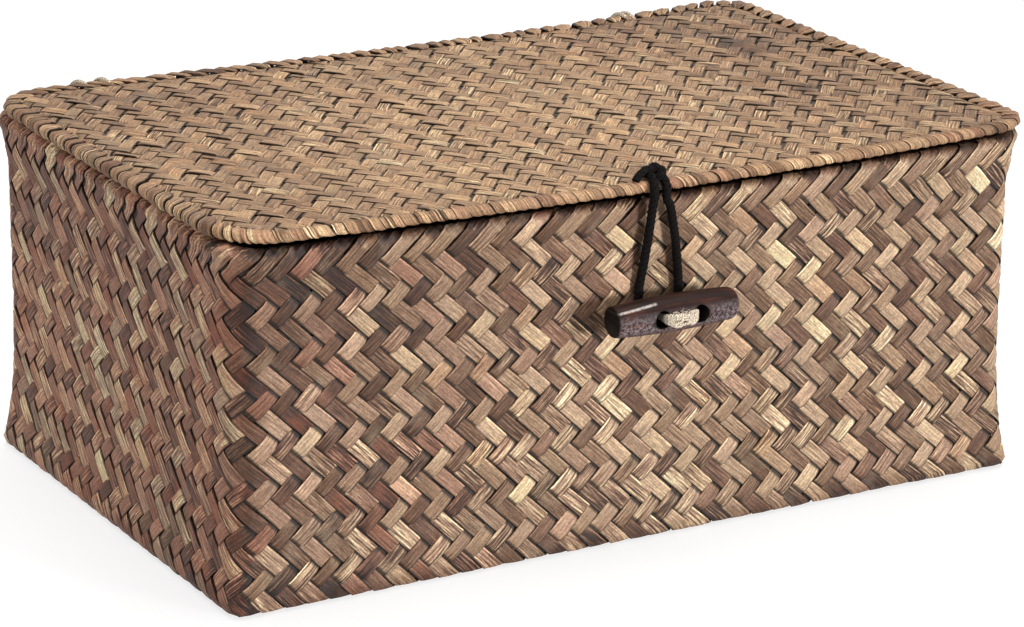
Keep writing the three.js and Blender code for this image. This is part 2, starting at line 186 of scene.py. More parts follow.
@dataclass(frozen=True)
class BoxSizes:
    """Sizes that the box's pieces share, in millimetres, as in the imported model."""

    overall_height: float = 117.0
    lid_length: float = 280.0
    lid_width: float = 174.5
    lid_corners: tuple[float, float, float, float] = (11.5, 14.0, 19.0, 21.5)
    lid_overhang: float = 2.7
    rim_corner: float = 9.0
    foot_corner: float = 3.7
    least_corner: float = 0.6
    corner_fade: float = 50.0
    waist_inset: float = 0.5
    foot_flare: float = 1.8
    foot_flare_height: float = 30.0
    base_edge: float = 3.0
    rim_bulge: float = 0.8
    rim_band: float = 8.0
    rim_top: float = 111.7
    rim_roll: float = 3.2
    rim_edge: float = 0.8
    rim_drop: float = 0.1
    rim_slope: float = 20.0
    fold_foot: float = 99.7
    wall_thickness: float = 4.3
    lid_underside: float = 112.0
    lid_roll: float = 2.5
    lid_lining_foot: float = 113.6
    sag: float = 2.1
    sag_lean: float = 0.5
    sag_foot: float = 40.0

    @property
    def lid_roll_height(self) -> float:
        """Height of the middle of the lid's rolled edge."""
        return self.lid_underside + self.lid_roll

    @property
    def lid_front(self) -> float:
        """The y of the lid's front edge."""
        return -self.lid_width / 2

    def settled(self, points: Array) -> Array:
        """Lowers points where the long sides sag: most at the rim, a little right of the middle.

        Args:
            points: Rows of x, y and z on a straight box.

        Returns:
            The rows on the sagging box.
        """
        along = np.clip(points[:, 0] * 2.0 / self.lid_length, -1.0, 1.0)
        high = np.clip((points[:, 2] - self.sag_foot) / (self.rim_top - self.sag_foot), 0.0, 1.0)
        drop = self.sag * (1.0 - along * along) * (1.0 + self.sag_lean * along) * high * high
        return points - np.outer(drop, (0.0, 0.0, 1.0))

    def body_section(self, height: Array, inset: Array) -> Outline:
        """Gives the body's outline at a height.

        Args:
            height: Height above the table.
            inset: Distance inside the outer face.

        Returns:
            The outline.
        """
        share = height / self.rim_top
        pinch = self.waist_inset * 4.0 * share * (1.0 - share)
        flare = self.foot_flare * np.maximum(0.0, 1.0 - height / self.foot_flare_height) ** 2
        fade = np.maximum(0.0, 1.0 - height / self.corner_fade) ** 2
        band = self.rim_bulge * eased((height - self.rim_top) / self.rim_band + 2.0)
        grow = flare + band - pinch - self.lid_overhang - inset
        corner = np.maximum(mixed(self.rim_corner, self.foot_corner, fade) - inset, self.least_corner)
        return Outline(self.lid_length / 2 + grow, self.lid_width / 2 + grow, (corner,) * 4)

    def lid_section(self, inset: Array) -> Outline:
        """Gives the lid's outline at a distance inside its edge."""
        corners = tuple(np.maximum(corner - inset, self.least_corner) for corner in self.lid_corners)
        return Outline(self.lid_length / 2 - inset, self.lid_width / 2 - inset, corners)


class Form:
    """A surface that strips are laid on, with two directions along it and one out of it."""

    def place(self, across: Array, up: Array, lift: Array) -> Array:
        """Places points on the surface.

        Args:
            across: Distance along the sheet's first direction.
            up: Distance along its second direction.
            lift: Distance out of the surface.

        Returns:
            One row of x, y and z for each point.
        """
        raise NotImplementedError

    def span(self, family: Family, offset: float) -> tuple[float, float] | None:
        """Finds where a strip starts and ends.

        Args:
            family: The strip's family.
            offset: Distance of the strip's middle line from the sheet's origin.

        Returns:
            The two ends along the strip, or nothing if it misses the sheet.
        """
        raise NotImplementedError

    def on_front(self, across: Array) -> Array:
        """Tells which distances along the sheet lie on the box's front."""
        return np.zeros(len(across), bool)

    def shade_and_hue_changes(self, family: Family, points: Array) -> tuple[Array, Array]:
        """Gives changes of the strips' shade and hue at places, some of them painted light and shade.

        Args:
            family: The strips' family.
            points: The places.

        Returns:
            The change of shade and of hue at each place.
        """
        return np.zeros(len(points)), np.zeros(len(points))

    def frayed(self, points: Array) -> Array:
        """Gives how much further than elsewhere the strips have split along their fibres at places."""
        return np.zeros(len(points))


@dataclass(frozen=True)
class WallShadeAndWear:
    """Changes of the walls' shade, hue and splitting, partly painted light and shade; places are in millimetres.
    """

    overall: float = -0.02
    side_shade: float = -0.03
    corner_shade: float = -0.33
    corner_reach: float = 75.0
    corner_hue: float = -0.2
    left_hue: float = -0.85
    left_split: float = 1.2
    left_from_end: tuple[float, float] = (8.0, 3.0)
    back_from_front: tuple[float, float] = (8.0, 13.0)
    # Where the painted light patch on the left wall starts along y, as a share of half the width, and its reach.
    painted_light_start: float = -0.55
    painted_light_reach: float = 50.0
    upper: Fade = Fade(1.0, 60.0, 110.0)
    # Darker towards the bottom.
    lower: Fade = Fade(-0.02, 45.0, 15.0)
    # Painted shade on the lowest row, where the wall curves under.
    foot: Fade = Fade(-0.15, 9.0, 3.0)
    # Painted light on the band under the rim, which leans out and faces a little down.
    band: Fade = Fade(0.04, 102.0, 106.0)
    right: Fade = Fade(-0.03, 30.0, 90.0)
    # Painted shade on the front rim's top, in the gap under the lid's edge.
    over_rim: Fade = Fade(-0.5, 0.3, 1.2)
    # Painted light on the left wall's lower back, fading out upwards.
    painted_light_patch: Fade = Fade(0.17, 78.0, 68.0)
    split: Fade = Fade(0.7, 70.0, 30.0)

    def patches(self, y: Array, z: Array) -> Array:
        """Gives how red the places of the left wall are, about 0.75."""
        return 0.75 + 0.35 * np.sin(y / 15.0 + 1.0) * np.sin(z / 12.0 + 0.5)


@dataclass
class WallForm(Form):
    """The outer face of the walls, from under the base edge, up the wall and over the rim.

    The weave is counted from its first row, and its rows are squashed a little.
    """

    sizes: BoxSizes
    depth: float
    low: float
    high: float
    first_row: float = 0.0
    squash: float = 1.0
    foot_depth: float = 1.0
    pad_bulge: float = 1.5
    pad_drop: float = 1.2
    pad_half: float = 2.0
    pad_lift: float = 1.3
    pad_foot: float = 7.0
    back_relief: float = 0.35
    front_end: float = 0.6
    shade_and_wear: WallShadeAndWear = WallShadeAndWear()

    def __post_init__(self) -> None:
        """Measures the way round at half height, and the fold over the rim."""
        sizes = self.sizes
        self.quarter = sizes.body_section(sizes.rim_top / 2, self.depth).quarter
        self.fold_start = sizes.rim_top - self.depth - sizes.rim_edge - sizes.rim_drop
        self.slope = math.radians(sizes.rim_slope)
        self.fold_flat = 2.0 * (sizes.rim_roll - self.depth - sizes.rim_edge) / math.cos(self.slope)
        self.fold_end = self.fold_start - self.fold_flat * math.sin(self.slope)
        self.over_rim = self.fold_start + self.fold_flat + sizes.rim_edge * math.pi

    def profile(self, up: Array) -> tuple[Array, Array, Array, Array]:
        """Follows the wall's profile.

        Args:
            up: Distance up the wall.

        Returns:
            Inset from the face, height, and the outward direction's level and upright parts.
        """
        edge = self.sizes.base_edge
        foot_radius = edge - self.foot_depth
        foot = np.clip((edge - up) / foot_radius, 0.0, QUARTER_TURN)
        under = np.maximum(0.0, edge - up - foot_radius * QUARTER_TURN)
        bend = self.sizes.rim_edge
        over = up - self.fold_start
        first_turn = QUARTER_TURN + self.slope
        outer = np.clip(over / bend, 0.0, first_turn)
        flat = np.clip(over - bend * first_turn, 0.0, self.fold_flat)
        inner = np.clip((over - self.fold_flat) / bend - first_turn, 0.0, math.pi - first_turn)
        inside = np.maximum(0.0, up - self.over_rim)
        turn = outer + inner
        inset = self.depth + foot_radius * (1.0 - np.cos(foot)) + under
        inset = inset + bend * (1.0 - np.cos(turn)) + flat * math.cos(self.slope)
        height = np.clip(up, edge, self.fold_start) - foot_radius * np.sin(foot)
        height = height + bend * np.sin(turn) - flat * math.sin(self.slope) - inside
        return inset, height, np.cos(foot) * np.cos(turn), np.sin(turn) - np.sin(foot)

    def place(self, across: Array, up: Array, lift: Array) -> Array:
        """Places points on the wall."""
        inset, height, level, rise = self.profile(up * self.squash + self.first_row)
        share = across / self.quarter
        x, y, normal_x, normal_y = self.sizes.body_section(height, inset).point(share)
        over = height - self.fold_start
        ends = self.on_ends(share)
        relief = self.back_relief * on_back(share) * eased(2.0 + over / self.pad_foot)
        bulge = self.pad_bulge * hump(over, -self.pad_drop, self.pad_half) * ends - relief
        reach = lift * level + bulge * np.maximum(level, 0.0)
        raised = height + self.pad_lift * ends * eased(1.0 + over / self.pad_foot)
        points = np.column_stack([x + normal_x * reach, y + normal_y * reach, raised + lift * rise])
        return self.sizes.settled(points)

    def on_ends(self, share: Array) -> Array:
        """Gives how far places round the box belong to its ends, from 0 to 1."""
        quarters = quarters_from_front(share)
        return eased(quarters, 0.58, 0.64) * eased(quarters, 1.42, 1.36)

    def span(self, family: Family, offset: float) -> tuple[float, float]:
        """Runs every strip over the whole height."""
        low = ROOT_TWO * (self.low - self.first_row) / self.squash
        high = ROOT_TWO * (self.high - self.first_row) / self.squash
        return (low + offset, high + offset) if family is Family.RISING else (offset - high, offset - low)

    def on_front(self, across: Array) -> Array:
        """Tells which distances along the sheet lie on the box's front."""
        return quarters_from_front(across / self.quarter) < self.front_end

    def on_left(self, x: Array) -> Array:
        """Gives how far places belong to the left wall, from 0 to 1."""
        start, stop = self.shade_and_wear.left_from_end
        return eased(x + self.sizes.lid_length / 2, start, stop)

    def shade_and_hue_changes(self, family: Family, points: Array) -> tuple[Array, Array]:
        """Darkens and reddens the corners and left wall, and paints light and shade on parts of the walls."""
        shade_and_wear = self.shade_and_wear
        x, y, z = points.T
        half_y = self.sizes.lid_width / 2
        left = self.on_left(x)
        corner = hump(x, -self.sizes.lid_length / 2, shade_and_wear.corner_reach) * (1.0 - left)
        upper = shade_and_wear.upper.at(z)
        tone = shade_and_wear.overall + shade_and_wear.side_shade * (left + upper) + shade_and_wear.corner_shade * corner * (1.0 + upper) / 2
        for fade, place in ((shade_and_wear.lower, z), (shade_and_wear.foot, z), (shade_and_wear.band, z), (shade_and_wear.right, x)):
            tone = tone + fade.at(place)
        # Painted shade: strips that rise over the front rim's top are darkened, as the lid's edge shades that
        # gap.
        rim = self.sizes.settled(np.column_stack([x, y, np.full_like(x, self.fold_start)]))[:, 2]
        front = 1.0 - np.maximum(left, eased(y + half_y, *shade_and_wear.back_from_front))
        tone = tone + front * shade_and_wear.over_rim.at(z - rim)
        # Painted light: the falling strips on the lower back of the left wall are lighter.
        if family is Family.FALLING:
            tone = tone + left * eased((y - shade_and_wear.painted_light_start * half_y) / shade_and_wear.painted_light_reach) * shade_and_wear.painted_light_patch.at(z)
        return tone, shade_and_wear.left_hue * left * shade_and_wear.patches(y, z) + shade_and_wear.corner_hue * corner

    def frayed(self, points: Array) -> Array:
        """Splits the left wall's strips and the lower strips further than the others."""
        left = self.on_left(points[:, 0])
        return self.shade_and_wear.left_split * left + (1.0 - left) * self.shade_and_wear.split.at(points[:, 2])


@dataclass
class LiningForm(WallForm):
    """The inner face of the walls, which looks inwards."""

    def place(self, across: Array, up: Array, lift: Array) -> Array:
        """Places points on the lining."""
        x, y, normal_x, normal_y = self.sizes.body_section(up, self.depth).point(-across / self.quarter)
        return self.sizes.settled(np.column_stack([x - normal_x * lift, y - normal_y * lift, up]))


@dataclass
class FlatForm(Form):
    """A flat sheet with rounded corners."""

    sizes: BoxSizes
    outline: Outline
    level: float
    facing: int = 1
    stretch: float = 1.0
    search_half: float = 320.0
    search_step: float = 0.2
    least_steps: int = 40

    def sink(self, x: Array, y: Array) -> Array:
        """Gives how far the sheet lies below its level at points."""
        return np.zeros_like(x)

    def place(self, across: Array, up: Array, lift: Array) -> Array:
        """Places points on the sheet."""
        x = across * self.facing
        y = up * self.stretch
        points = np.column_stack([x, y, self.level + self.facing * (lift - self.sink(x, y))])
        return self.sizes.settled(points)

    def span(self, family: Family, offset: float) -> tuple[float, float] | None:
        """Cuts a strip where its middle line meets the edge."""
        count = round(2.0 * self.search_half / self.search_step) + 1
        along = np.linspace(-self.search_half, self.search_half, count)
        lean = 1.0 if family is Family.RISING else -1.0
        x = (along + offset) / ROOT_TWO
        y = lean * (along - offset) / ROOT_TWO * self.stretch
        inside = np.nonzero(self.outline.edge_distance(x * self.facing, y) > 0.0)[0]
        if len(inside) < self.least_steps:
            return None
        return float(along[inside[0]]), float(along[inside[-1]])

    def strip_numbers(self, pitch: float) -> range:
        """Numbers the strips that can cross the sheet."""
        reach = math.ceil((self.outline.half_x + self.outline.half_y) / ROOT_TWO / pitch)
        return range(-reach, reach + 1)


@dataclass
class LidTopForm(FlatForm):
    """The lid's upper sheet, which dips under the straps of its border."""

    front_bend: float = 2.4
    front_drop: float = 0.8
    side_bend: float = 6.5
    side_flat: float = 3.0
    side_drop: float = 0.9
    left_end: Fade = Fade(-0.08, 40.0, 110.0)
    right_end: Fade = Fade(-0.12, 40.0, 110.0)
    back: Fade = Fade(-0.06, 10.0, 60.0)
    hue: float = 0.14
    stain_shade: float = -0.3
    stains: tuple[Point, ...] = ((107.7, 36.9, 7.0), (107.0, 24.1, 5.0), (97.9, -21.9, 4.0))

    def sink(self, x: Array, y: Array) -> Array:
        """Gives how far the sheet dips at points."""
        front = self.outline.half_y + y
        side = np.minimum(self.outline.half_x - np.abs(x), self.outline.half_y - y)
        dip = self.side_drop * eased(side, self.side_bend, self.side_flat)
        near = np.minimum(front, self.outline.edge_distance(x, y))
        return np.maximum(dip, self.front_drop * eased(near, self.front_bend, 0.0))

    def shade_and_hue_changes(self, family: Family, points: Array) -> tuple[Array, Array]:
        """Darkens the ends, the back and a few stained places."""
        x, y, _ = points.T
        tone = self.left_end.at(-x) + self.right_end.at(x) + self.back.at(y)
        for stain_x, stain_y, reach in self.stains:
            tone = tone + self.stain_shade * hump(np.hypot(x - stain_x, y - stain_y), 0.0, reach)
        return tone, np.full_like(x, self.hue)


@dataclass
class LidRollForm(Form):
    """The lid's rolled edge, from the border below, round the outside and on to the top."""

    sizes: BoxSizes
    depth: float
    under: float
    roll: float = 1.6
    middle: float = 115.2
    back_relief: float = 0.6

    def __post_init__(self) -> None:
        """Measures the way round and the way over."""
        self.radius = self.roll - self.depth
        self.quarter = self.sizes.lid_section(self.depth).quarter
        self.bend = self.under + self.radius * math.pi

    def place(self, across: Array, up: Array, lift: Array) -> Array:
        """Places points on the roll."""
        turn = np.clip((up - self.under) / self.radius, 0.0, math.pi) - QUARTER_TURN
        below = np.maximum(0.0, self.under - up)
        above = np.maximum(0.0, up - self.bend)
        inset = self.roll - self.radius * np.cos(turn) + below + above
        share = across / self.quarter
        x, y, normal_x, normal_y = self.sizes.lid_section(inset).point(share)
        reach = (lift - self.back_relief * on_back(share)) * np.cos(turn)
        height = self.middle + (self.radius + lift) * np.sin(turn)
        return self.sizes.settled(np.column_stack([x + normal_x * reach, y + normal_y * reach, height]))


@dataclass(frozen=True)
class Twill:
    """How two sets of flat strips cross: over two and under two, in millimetres."""

    pitch: float
    rows: Rows
    cover: float = 0.955
    thickness: float = 0.46
    lift: float = 0.42
    crown: float = 0.12
    wander: float = 0.24
    ramp: float = 0.06
    steepness: float = 3.5
    lead: float = 0.0
    contrast: float = 0.13
    vary: float = 1.0
    top_row: float | None = None
    top_fade: float = 4.0
    top_heights: tuple[float, float] = (1.0, -1.4)
    front_tuck: float = 0.06
    side_tuck: float = 0.36
    tuck_half: float = 2.2

    def phase(self, family: Family, number: Array, along: Array) -> Array:
        """Counts a strip's floats: it lies on top at whole numbers and below half way between.

        Args:
            family: The strips' family.
            number: Each strip's number in its family.
            along: Distance along the strip.

        Returns:
            The count at each point.
        """
        side = self.rows.value
        shift = -0.5 if family is Family.RISING else -2.5 * side
        return (along / self.pitch + side * number + shift) / 4.0

    def height(self, family: Family, phase: Array) -> Array:
        """Gives how far a strip lies above or below the middle at a count of floats, from -1 to 1."""
        return np.tanh(self.steepness * (np.cos(FULL_TURN * phase) + self.extra(family)))

    def extra(self, family: Family) -> float:
        """Gives how much longer than its neighbours a family floats."""
        return self.lead if family is Family.FALLING else -self.lead

    def route(self, family: Family, number: int, span: tuple[float, float]) -> Array:
        """Lists the distances along a strip at which it lies flat or bends.

        Args:
            family: The strip's family.
            number: The strip's number.
            span: Its two ends.

        Returns:
            The distances, from end to end.
        """
        under = math.acos(-self.extra(family)) / FULL_TURN
        half = np.array([0.0, 0.11, under - self.ramp, under, under + self.ramp, 0.39, 0.5])
        cycle = np.concatenate([half, 1.0 - half[-2:0:-1]])
        low, high = self.phase(family, number, np.array(span))
        counts = (np.arange(math.floor(low), math.ceil(high) + 1)[:, None] + cycle).ravel()
        counts = counts[(counts > low + self.ramp / 2) & (counts < high - self.ramp / 2)]
        first = self.phase(family, number, 0.0)
        inner = (counts - first) * 4.0 * self.pitch
        return np.concatenate([span[:1], inner, span[1:]])


def as_mesh(made: bmesh.types.BMesh, name: str) -> bpy.types.Mesh:
    """Turns a finished shape into a mesh.

    Args:
        made: The shape, which is freed.
        name: The mesh's name.

    Returns:
        The mesh.
    """
    mesh = bpy.data.meshes.new(name)
    made.to_mesh(mesh)
    made.free()
    return mesh


def ribbon_blank(steps: int) -> bpy.types.Mesh:
    """Makes a flat ribbon of unit length, width and thickness.

    Args:
        steps: Number of mesh steps along it.

    Returns:
        The ribbon's mesh.
    """
    made = bmesh.new()
    bmesh.ops.create_grid(made, x_segments=steps, y_segments=2, size=0.5)
    bmesh.ops.solidify(made, geom=made.faces[:], thickness=1.0)
    bmesh.ops.recalc_face_normals(made, faces=made.faces[:])
    return as_mesh(made, "ribbon_blank")


def tube_blank(sides: int, rings: int, name: str) -> bpy.types.Mesh:
    """Makes a closed straight tube of unit radius and length.

    Args:
        sides: Number of sides.
        rings: Number of rings between its ends.
        name: The mesh's name.

    Returns:
        The tube's mesh.
    """
    made = bmesh.new()
    bmesh.ops.create_cone(made, cap_ends=True, segments=sides, radius1=1.0, radius2=1.0, depth=1.0)
    upright = [edge for edge in made.edges if abs(edge.verts[0].co.z - edge.verts[1].co.z) > 0.5]
    bmesh.ops.subdivide_edges(made, edges=upright, cuts=rings, use_grid_fill=True)
    bmesh.ops.recalc_face_normals(made, faces=made.faces[:])
    return as_mesh(made, name)


def joined(meshes: list[bpy.types.Mesh], name: str) -> tuple[bpy.types.Mesh, Array]:
    """Joins meshes into one.

    Args:
        meshes: The meshes, in order.
        name: The new mesh's name.

    Returns:
        The mesh, and for each vertex the number of the mesh that it came from.
    """
    made = bmesh.new()
    for mesh in meshes:
        made.from_mesh(mesh)
    owners = np.repeat(np.arange(len(meshes)), [len(mesh.vertices) for mesh in meshes])
    return as_mesh(made, name), owners


def vertex_array(mesh: bpy.types.Mesh) -> Array:
    """Reads a mesh's vertices as rows of x, y and z."""
    values = np.empty(len(mesh.vertices) * 3, np.float32)
    mesh.vertices.foreach_get("co", values)
    return values.reshape(-1, 3).astype(float)


def outer_side(unit: Array) -> Array:
    """Gives 1 for a ribbon blank's vertices on its outer side and 0 for the others."""
    away = np.abs(unit[:, 2])
    return away if unit[:, 2].max() > 0.5 else 1.0 - away


def write_vertices(mesh: bpy.types.Mesh, points: Array) -> None:
    """Puts a mesh's vertices at points given in millimetres."""
    mesh.vertices.foreach_set("co", (points * MM).astype(np.float32).ravel())
    mesh.update()


def write_uv(mesh: bpy.types.Mesh, along: Array, across: Array) -> None:
    """Gives each face corner its vertex's two coordinates.

    Args:
        mesh: The mesh.
        along: Each vertex's first coordinate.
        across: Each vertex's second coordinate.
    """
    corners = np.empty(len(mesh.loops), np.int32)
    mesh.loops.foreach_get("vertex_index", corners)
    layer = mesh.uv_layers.new(name="strip")
    layer.data.foreach_set("uv", np.column_stack([along, across])[corners].astype(np.float32).ravel())


def write_values(mesh: bpy.types.Mesh, **values: Array) -> None:
    """Gives each vertex numbers that the finish reads by their names."""
    for name, numbers in values.items():
        mesh.attributes.new(name, "FLOAT", "POINT").data.foreach_set("value", numbers.astype(np.float32))


def soften(mesh: bpy.types.Mesh, angle: float = 50.0) -> None:
    """Shades a mesh smooth, apart from edges that are sharper than an angle in degrees."""
    mesh.polygons.foreach_set("use_smooth", np.ones(len(mesh.polygons), bool))
    mesh.set_sharp_from_angle(angle=math.radians(angle))


def new_object(mesh: bpy.types.Mesh, material: bpy.types.Material | None = None) -> bpy.types.Object:
    """Puts a mesh in the scene under its own name.

    Args:
        mesh: The mesh.
        material: Its material, if it has one.

    Returns:
        The object.
    """
    mesh.materials.clear()
    if material:
        mesh.materials.append(material)
    made = bpy.data.objects.new(mesh.name, mesh)
    bpy.context.scene.collection.objects.link(made)
    return made


@dataclass(frozen=True)
class Variety:
    """How much strips differ: widths as shares, lengths in millimetres, shades and hues as shares."""

    floats: int = 64
    width: float = 0.045
    pale_width: float = 0.03
    waves: tuple[float, float] = (31.0, 11.0)
    short_wave: float = 0.6
    float_lift: float = 0.07
    float_tilt: float = 0.22
    strip_shade: float = 0.05
    slow_shade: float = 0.03
    slow_lengths: tuple[float, float] = (18.0, 55.0)
    float_shade: float = 0.07
    bleached_shade: float = 0.04
    darkest: float = -0.11
    pale_hue: float = 0.06
    strip_hue: float = 0.14
    float_hue: float = 0.17
    reddest: float = -0.3


@dataclass
class Weaver:
    """Weaves strips of one family on a form."""

    form: Form
    twill: Twill
    seed: int
    variety: Variety = Variety()
    blanks: dict[int, bpy.types.Mesh] = field(default_factory=dict)

    def blank(self, steps: int) -> bpy.types.Mesh:
        """Gives the blank for a strip with a number of steps."""
        if steps not in self.blanks:
            self.blanks[steps] = ribbon_blank(steps)
        return self.blanks[steps]

    def weave(self, name: str, family: Family, numbers: range) -> bpy.types.Mesh:
        """Weaves one family of strips.

        Args:
            name: The mesh's name.
            family: The family.
            numbers: The strips' numbers in the family.

        Returns:
            The mesh of all the strips, with its coordinates along and across them and their tones.
        """
        twill, variety = self.twill, self.variety
        rng = np.random.default_rng(self.seed)
        spans = {number: self.form.span(family, number * twill.pitch) for number in numbers}
        kept = [number for number in numbers if spans[number] is not None]
        routes = [twill.route(family, number, spans[number]) for number in kept]
        mesh, owner = joined([self.blank(len(route) - 1) for route in routes], name)
        unit = vertex_array(mesh)
        side = unit[:, 1]
        points_each = np.array([len(route) for route in routes])
        before = np.cumsum(points_each) - points_each
        step = np.rint((unit[:, 0] + 0.5) * (points_each[owner] - 1)).astype(int)
        along = np.concatenate(routes)[before[owner] + step]
        count = len(kept)
        number = np.array(kept, float)[owner]
        pale = np.where(number % 2 == 0, 1.0, -1.0)
        phase = twill.phase(family, number, along)
        floats = np.rint(phase * 2.0).astype(int) % variety.floats
        width = rng.normal(1.0, variety.width, count)[owner] + variety.pale_width * pale
        width = twill.pitch * twill.cover * width * self.tuck(family, number, along)
        bend = rng.uniform(0.0, FULL_TURN, (count, 2))[owner]
        drift = np.sin(along / variety.waves[0] + bend[:, 0])
        drift = drift + variety.short_wave * np.sin(along / variety.waves[1] + bend[:, 1])
        across, up = self.sheet_point(family, number, along, side * width + twill.wander * drift)
        height = self.folded(family, twill.height(family, phase), up)
        jitter, tilt, split = rng.normal(0.0, 1.0, (3, count, variety.floats))[:, owner, floats]
        lift = twill.lift * height + twill.crown * (1.0 - 4.0 * side * side)
        lift = lift + (outer_side(unit) - 0.5) * twill.thickness
        lift = lift + np.maximum(height, 0.0) * (variety.float_lift * jitter + variety.float_tilt * side * tilt)
        points = self.form.place(across, up, lift)
        write_vertices(mesh, points)
        write_uv(mesh, along / 10.0, side * 0.98 + 0.5 + owner)
        own = variety.strip_shade * rng.normal(0.0, 1.0, count)[owner]
        own = own + variety.slow_shade * self.slow_change(rng, owner, along, count)
        own = own + variety.float_shade * jitter + variety.bleached_shade * np.maximum(jitter - 1.0, 0.0)
        cast = variety.pale_hue * pale + variety.strip_hue * rng.normal(0.0, 1.0, count)[owner]
        cast = np.maximum(cast + variety.float_hue * tilt, variety.reddest)
        tone, hue = self.form.shade_and_hue_changes(family, points)
        write_values(
            mesh,
            tone=0.5 + tone + twill.contrast * pale + twill.vary * np.maximum(own, variety.darkest),
            hue=np.clip(0.5 + hue + cast, 0.0, 1.0),
            split=split + self.form.frayed(points),
            # The height also sets the painted shade at the ends of floats.
            rise=height,
        )
        soften(mesh)
        return mesh

    def tuck(self, family: Family, number: Array, along: Array) -> Array:
        """Gives the share of their width that strips keep where they tuck in under the rim's top row.

        Args:
            family: The strips' family.
            number: Each strip's number.
            along: Distance along the strip.

        Returns:
            The share at each point.
        """
        twill = self.twill
        if twill.top_row is None or family is Family.FALLING:
            return np.ones(len(along))
        across, up = self.sheet_point(family, number, along, 0.0)
        tuck = np.where(self.form.on_front(across), twill.front_tuck, twill.side_tuck)
        return 1.0 - tuck * hump(up, twill.top_row, twill.tuck_half)

    def folded(self, family: Family, height: Array, up: Array) -> Array:
        """Lays the rising strips over the falling ones above the top row.

        Args:
            family: The strips' family.
            height: How far the strips lie above or below the middle.
            up: Distance up the sheet.

        Returns:
            The new heights.
        """
        twill = self.twill
        if twill.top_row is None:
            return height
        above = eased(up, twill.top_row, twill.top_row + twill.top_fade)
        over, under = twill.top_heights
        return mixed(height, over if family is Family.RISING else under, above)

    def sheet_point(self, family: Family, number: Array, along: Array, off: Array) -> tuple[Array, Array]:
        """Turns strip coordinates into sheet coordinates.

        Args:
            family: The strips' family.
            number: Each strip's number.
            along: Distance along the strip.
            off: Distance from its middle line.

        Returns:
            Distance along the sheet and up it.
        """
        line = number * self.twill.pitch
        if family is Family.RISING:
            return (along + line - off) / ROOT_TWO, (along - line + off) / ROOT_TWO
        return (along + line + off) / ROOT_TWO, (line + off - along) / ROOT_TWO

    def slow_change(self, rng: np.random.Generator, owner: Array, along: Array, count: int) -> Array:
        """Gives each strip a slow change of shade along it.

        Args:
            rng: Source of the strips' differences.
            owner: Each point's strip.
            along: Distance along the strip.
            count: Number of strips.

        Returns:
            The change at each point, about 0.
        """
        turn = rng.uniform(0.0, FULL_TURN, (count, 2))[owner]
        length = rng.uniform(*self.variety.slow_lengths, (count, 2))[owner]
        slow = np.sin(along / length[:, 0] + turn[:, 0])
        return slow + np.sin(along / length[:, 1] * 1.7 + turn[:, 1])


def flat_sheet(name: str, form: FlatForm, twill: Twill, seed: int) -> bpy.types.Mesh:
    """Weaves both families of a flat sheet into one mesh.

    Args:
        name: The mesh's name.
        form: The sheet.
        twill: How its strips cross.
        seed: Starts its random draws.

    Returns:
        The mesh.
    """
    numbers = form.strip_numbers(twill.pitch)
    seeds = ((Family.RISING, seed), (Family.FALLING, seed + 50))
    meshes = [Weaver(form, twill, start).weave(name + family.value, family, numbers) for family, start in seeds]
    return joined(meshes, name)[0]


def tint(colour: Colour) -> tuple[float, float, float, float]:
    """Turns a screen colour of 0 to 255 into the renderer's linear colour."""
    parts = [channel / 255.0 for channel in colour]
    linear = [part / 12.92 if part <= 0.04045 else ((part + 0.055) / 1.055) ** 2.4 for part in parts]
    return linear[0], linear[1], linear[2], 1.0


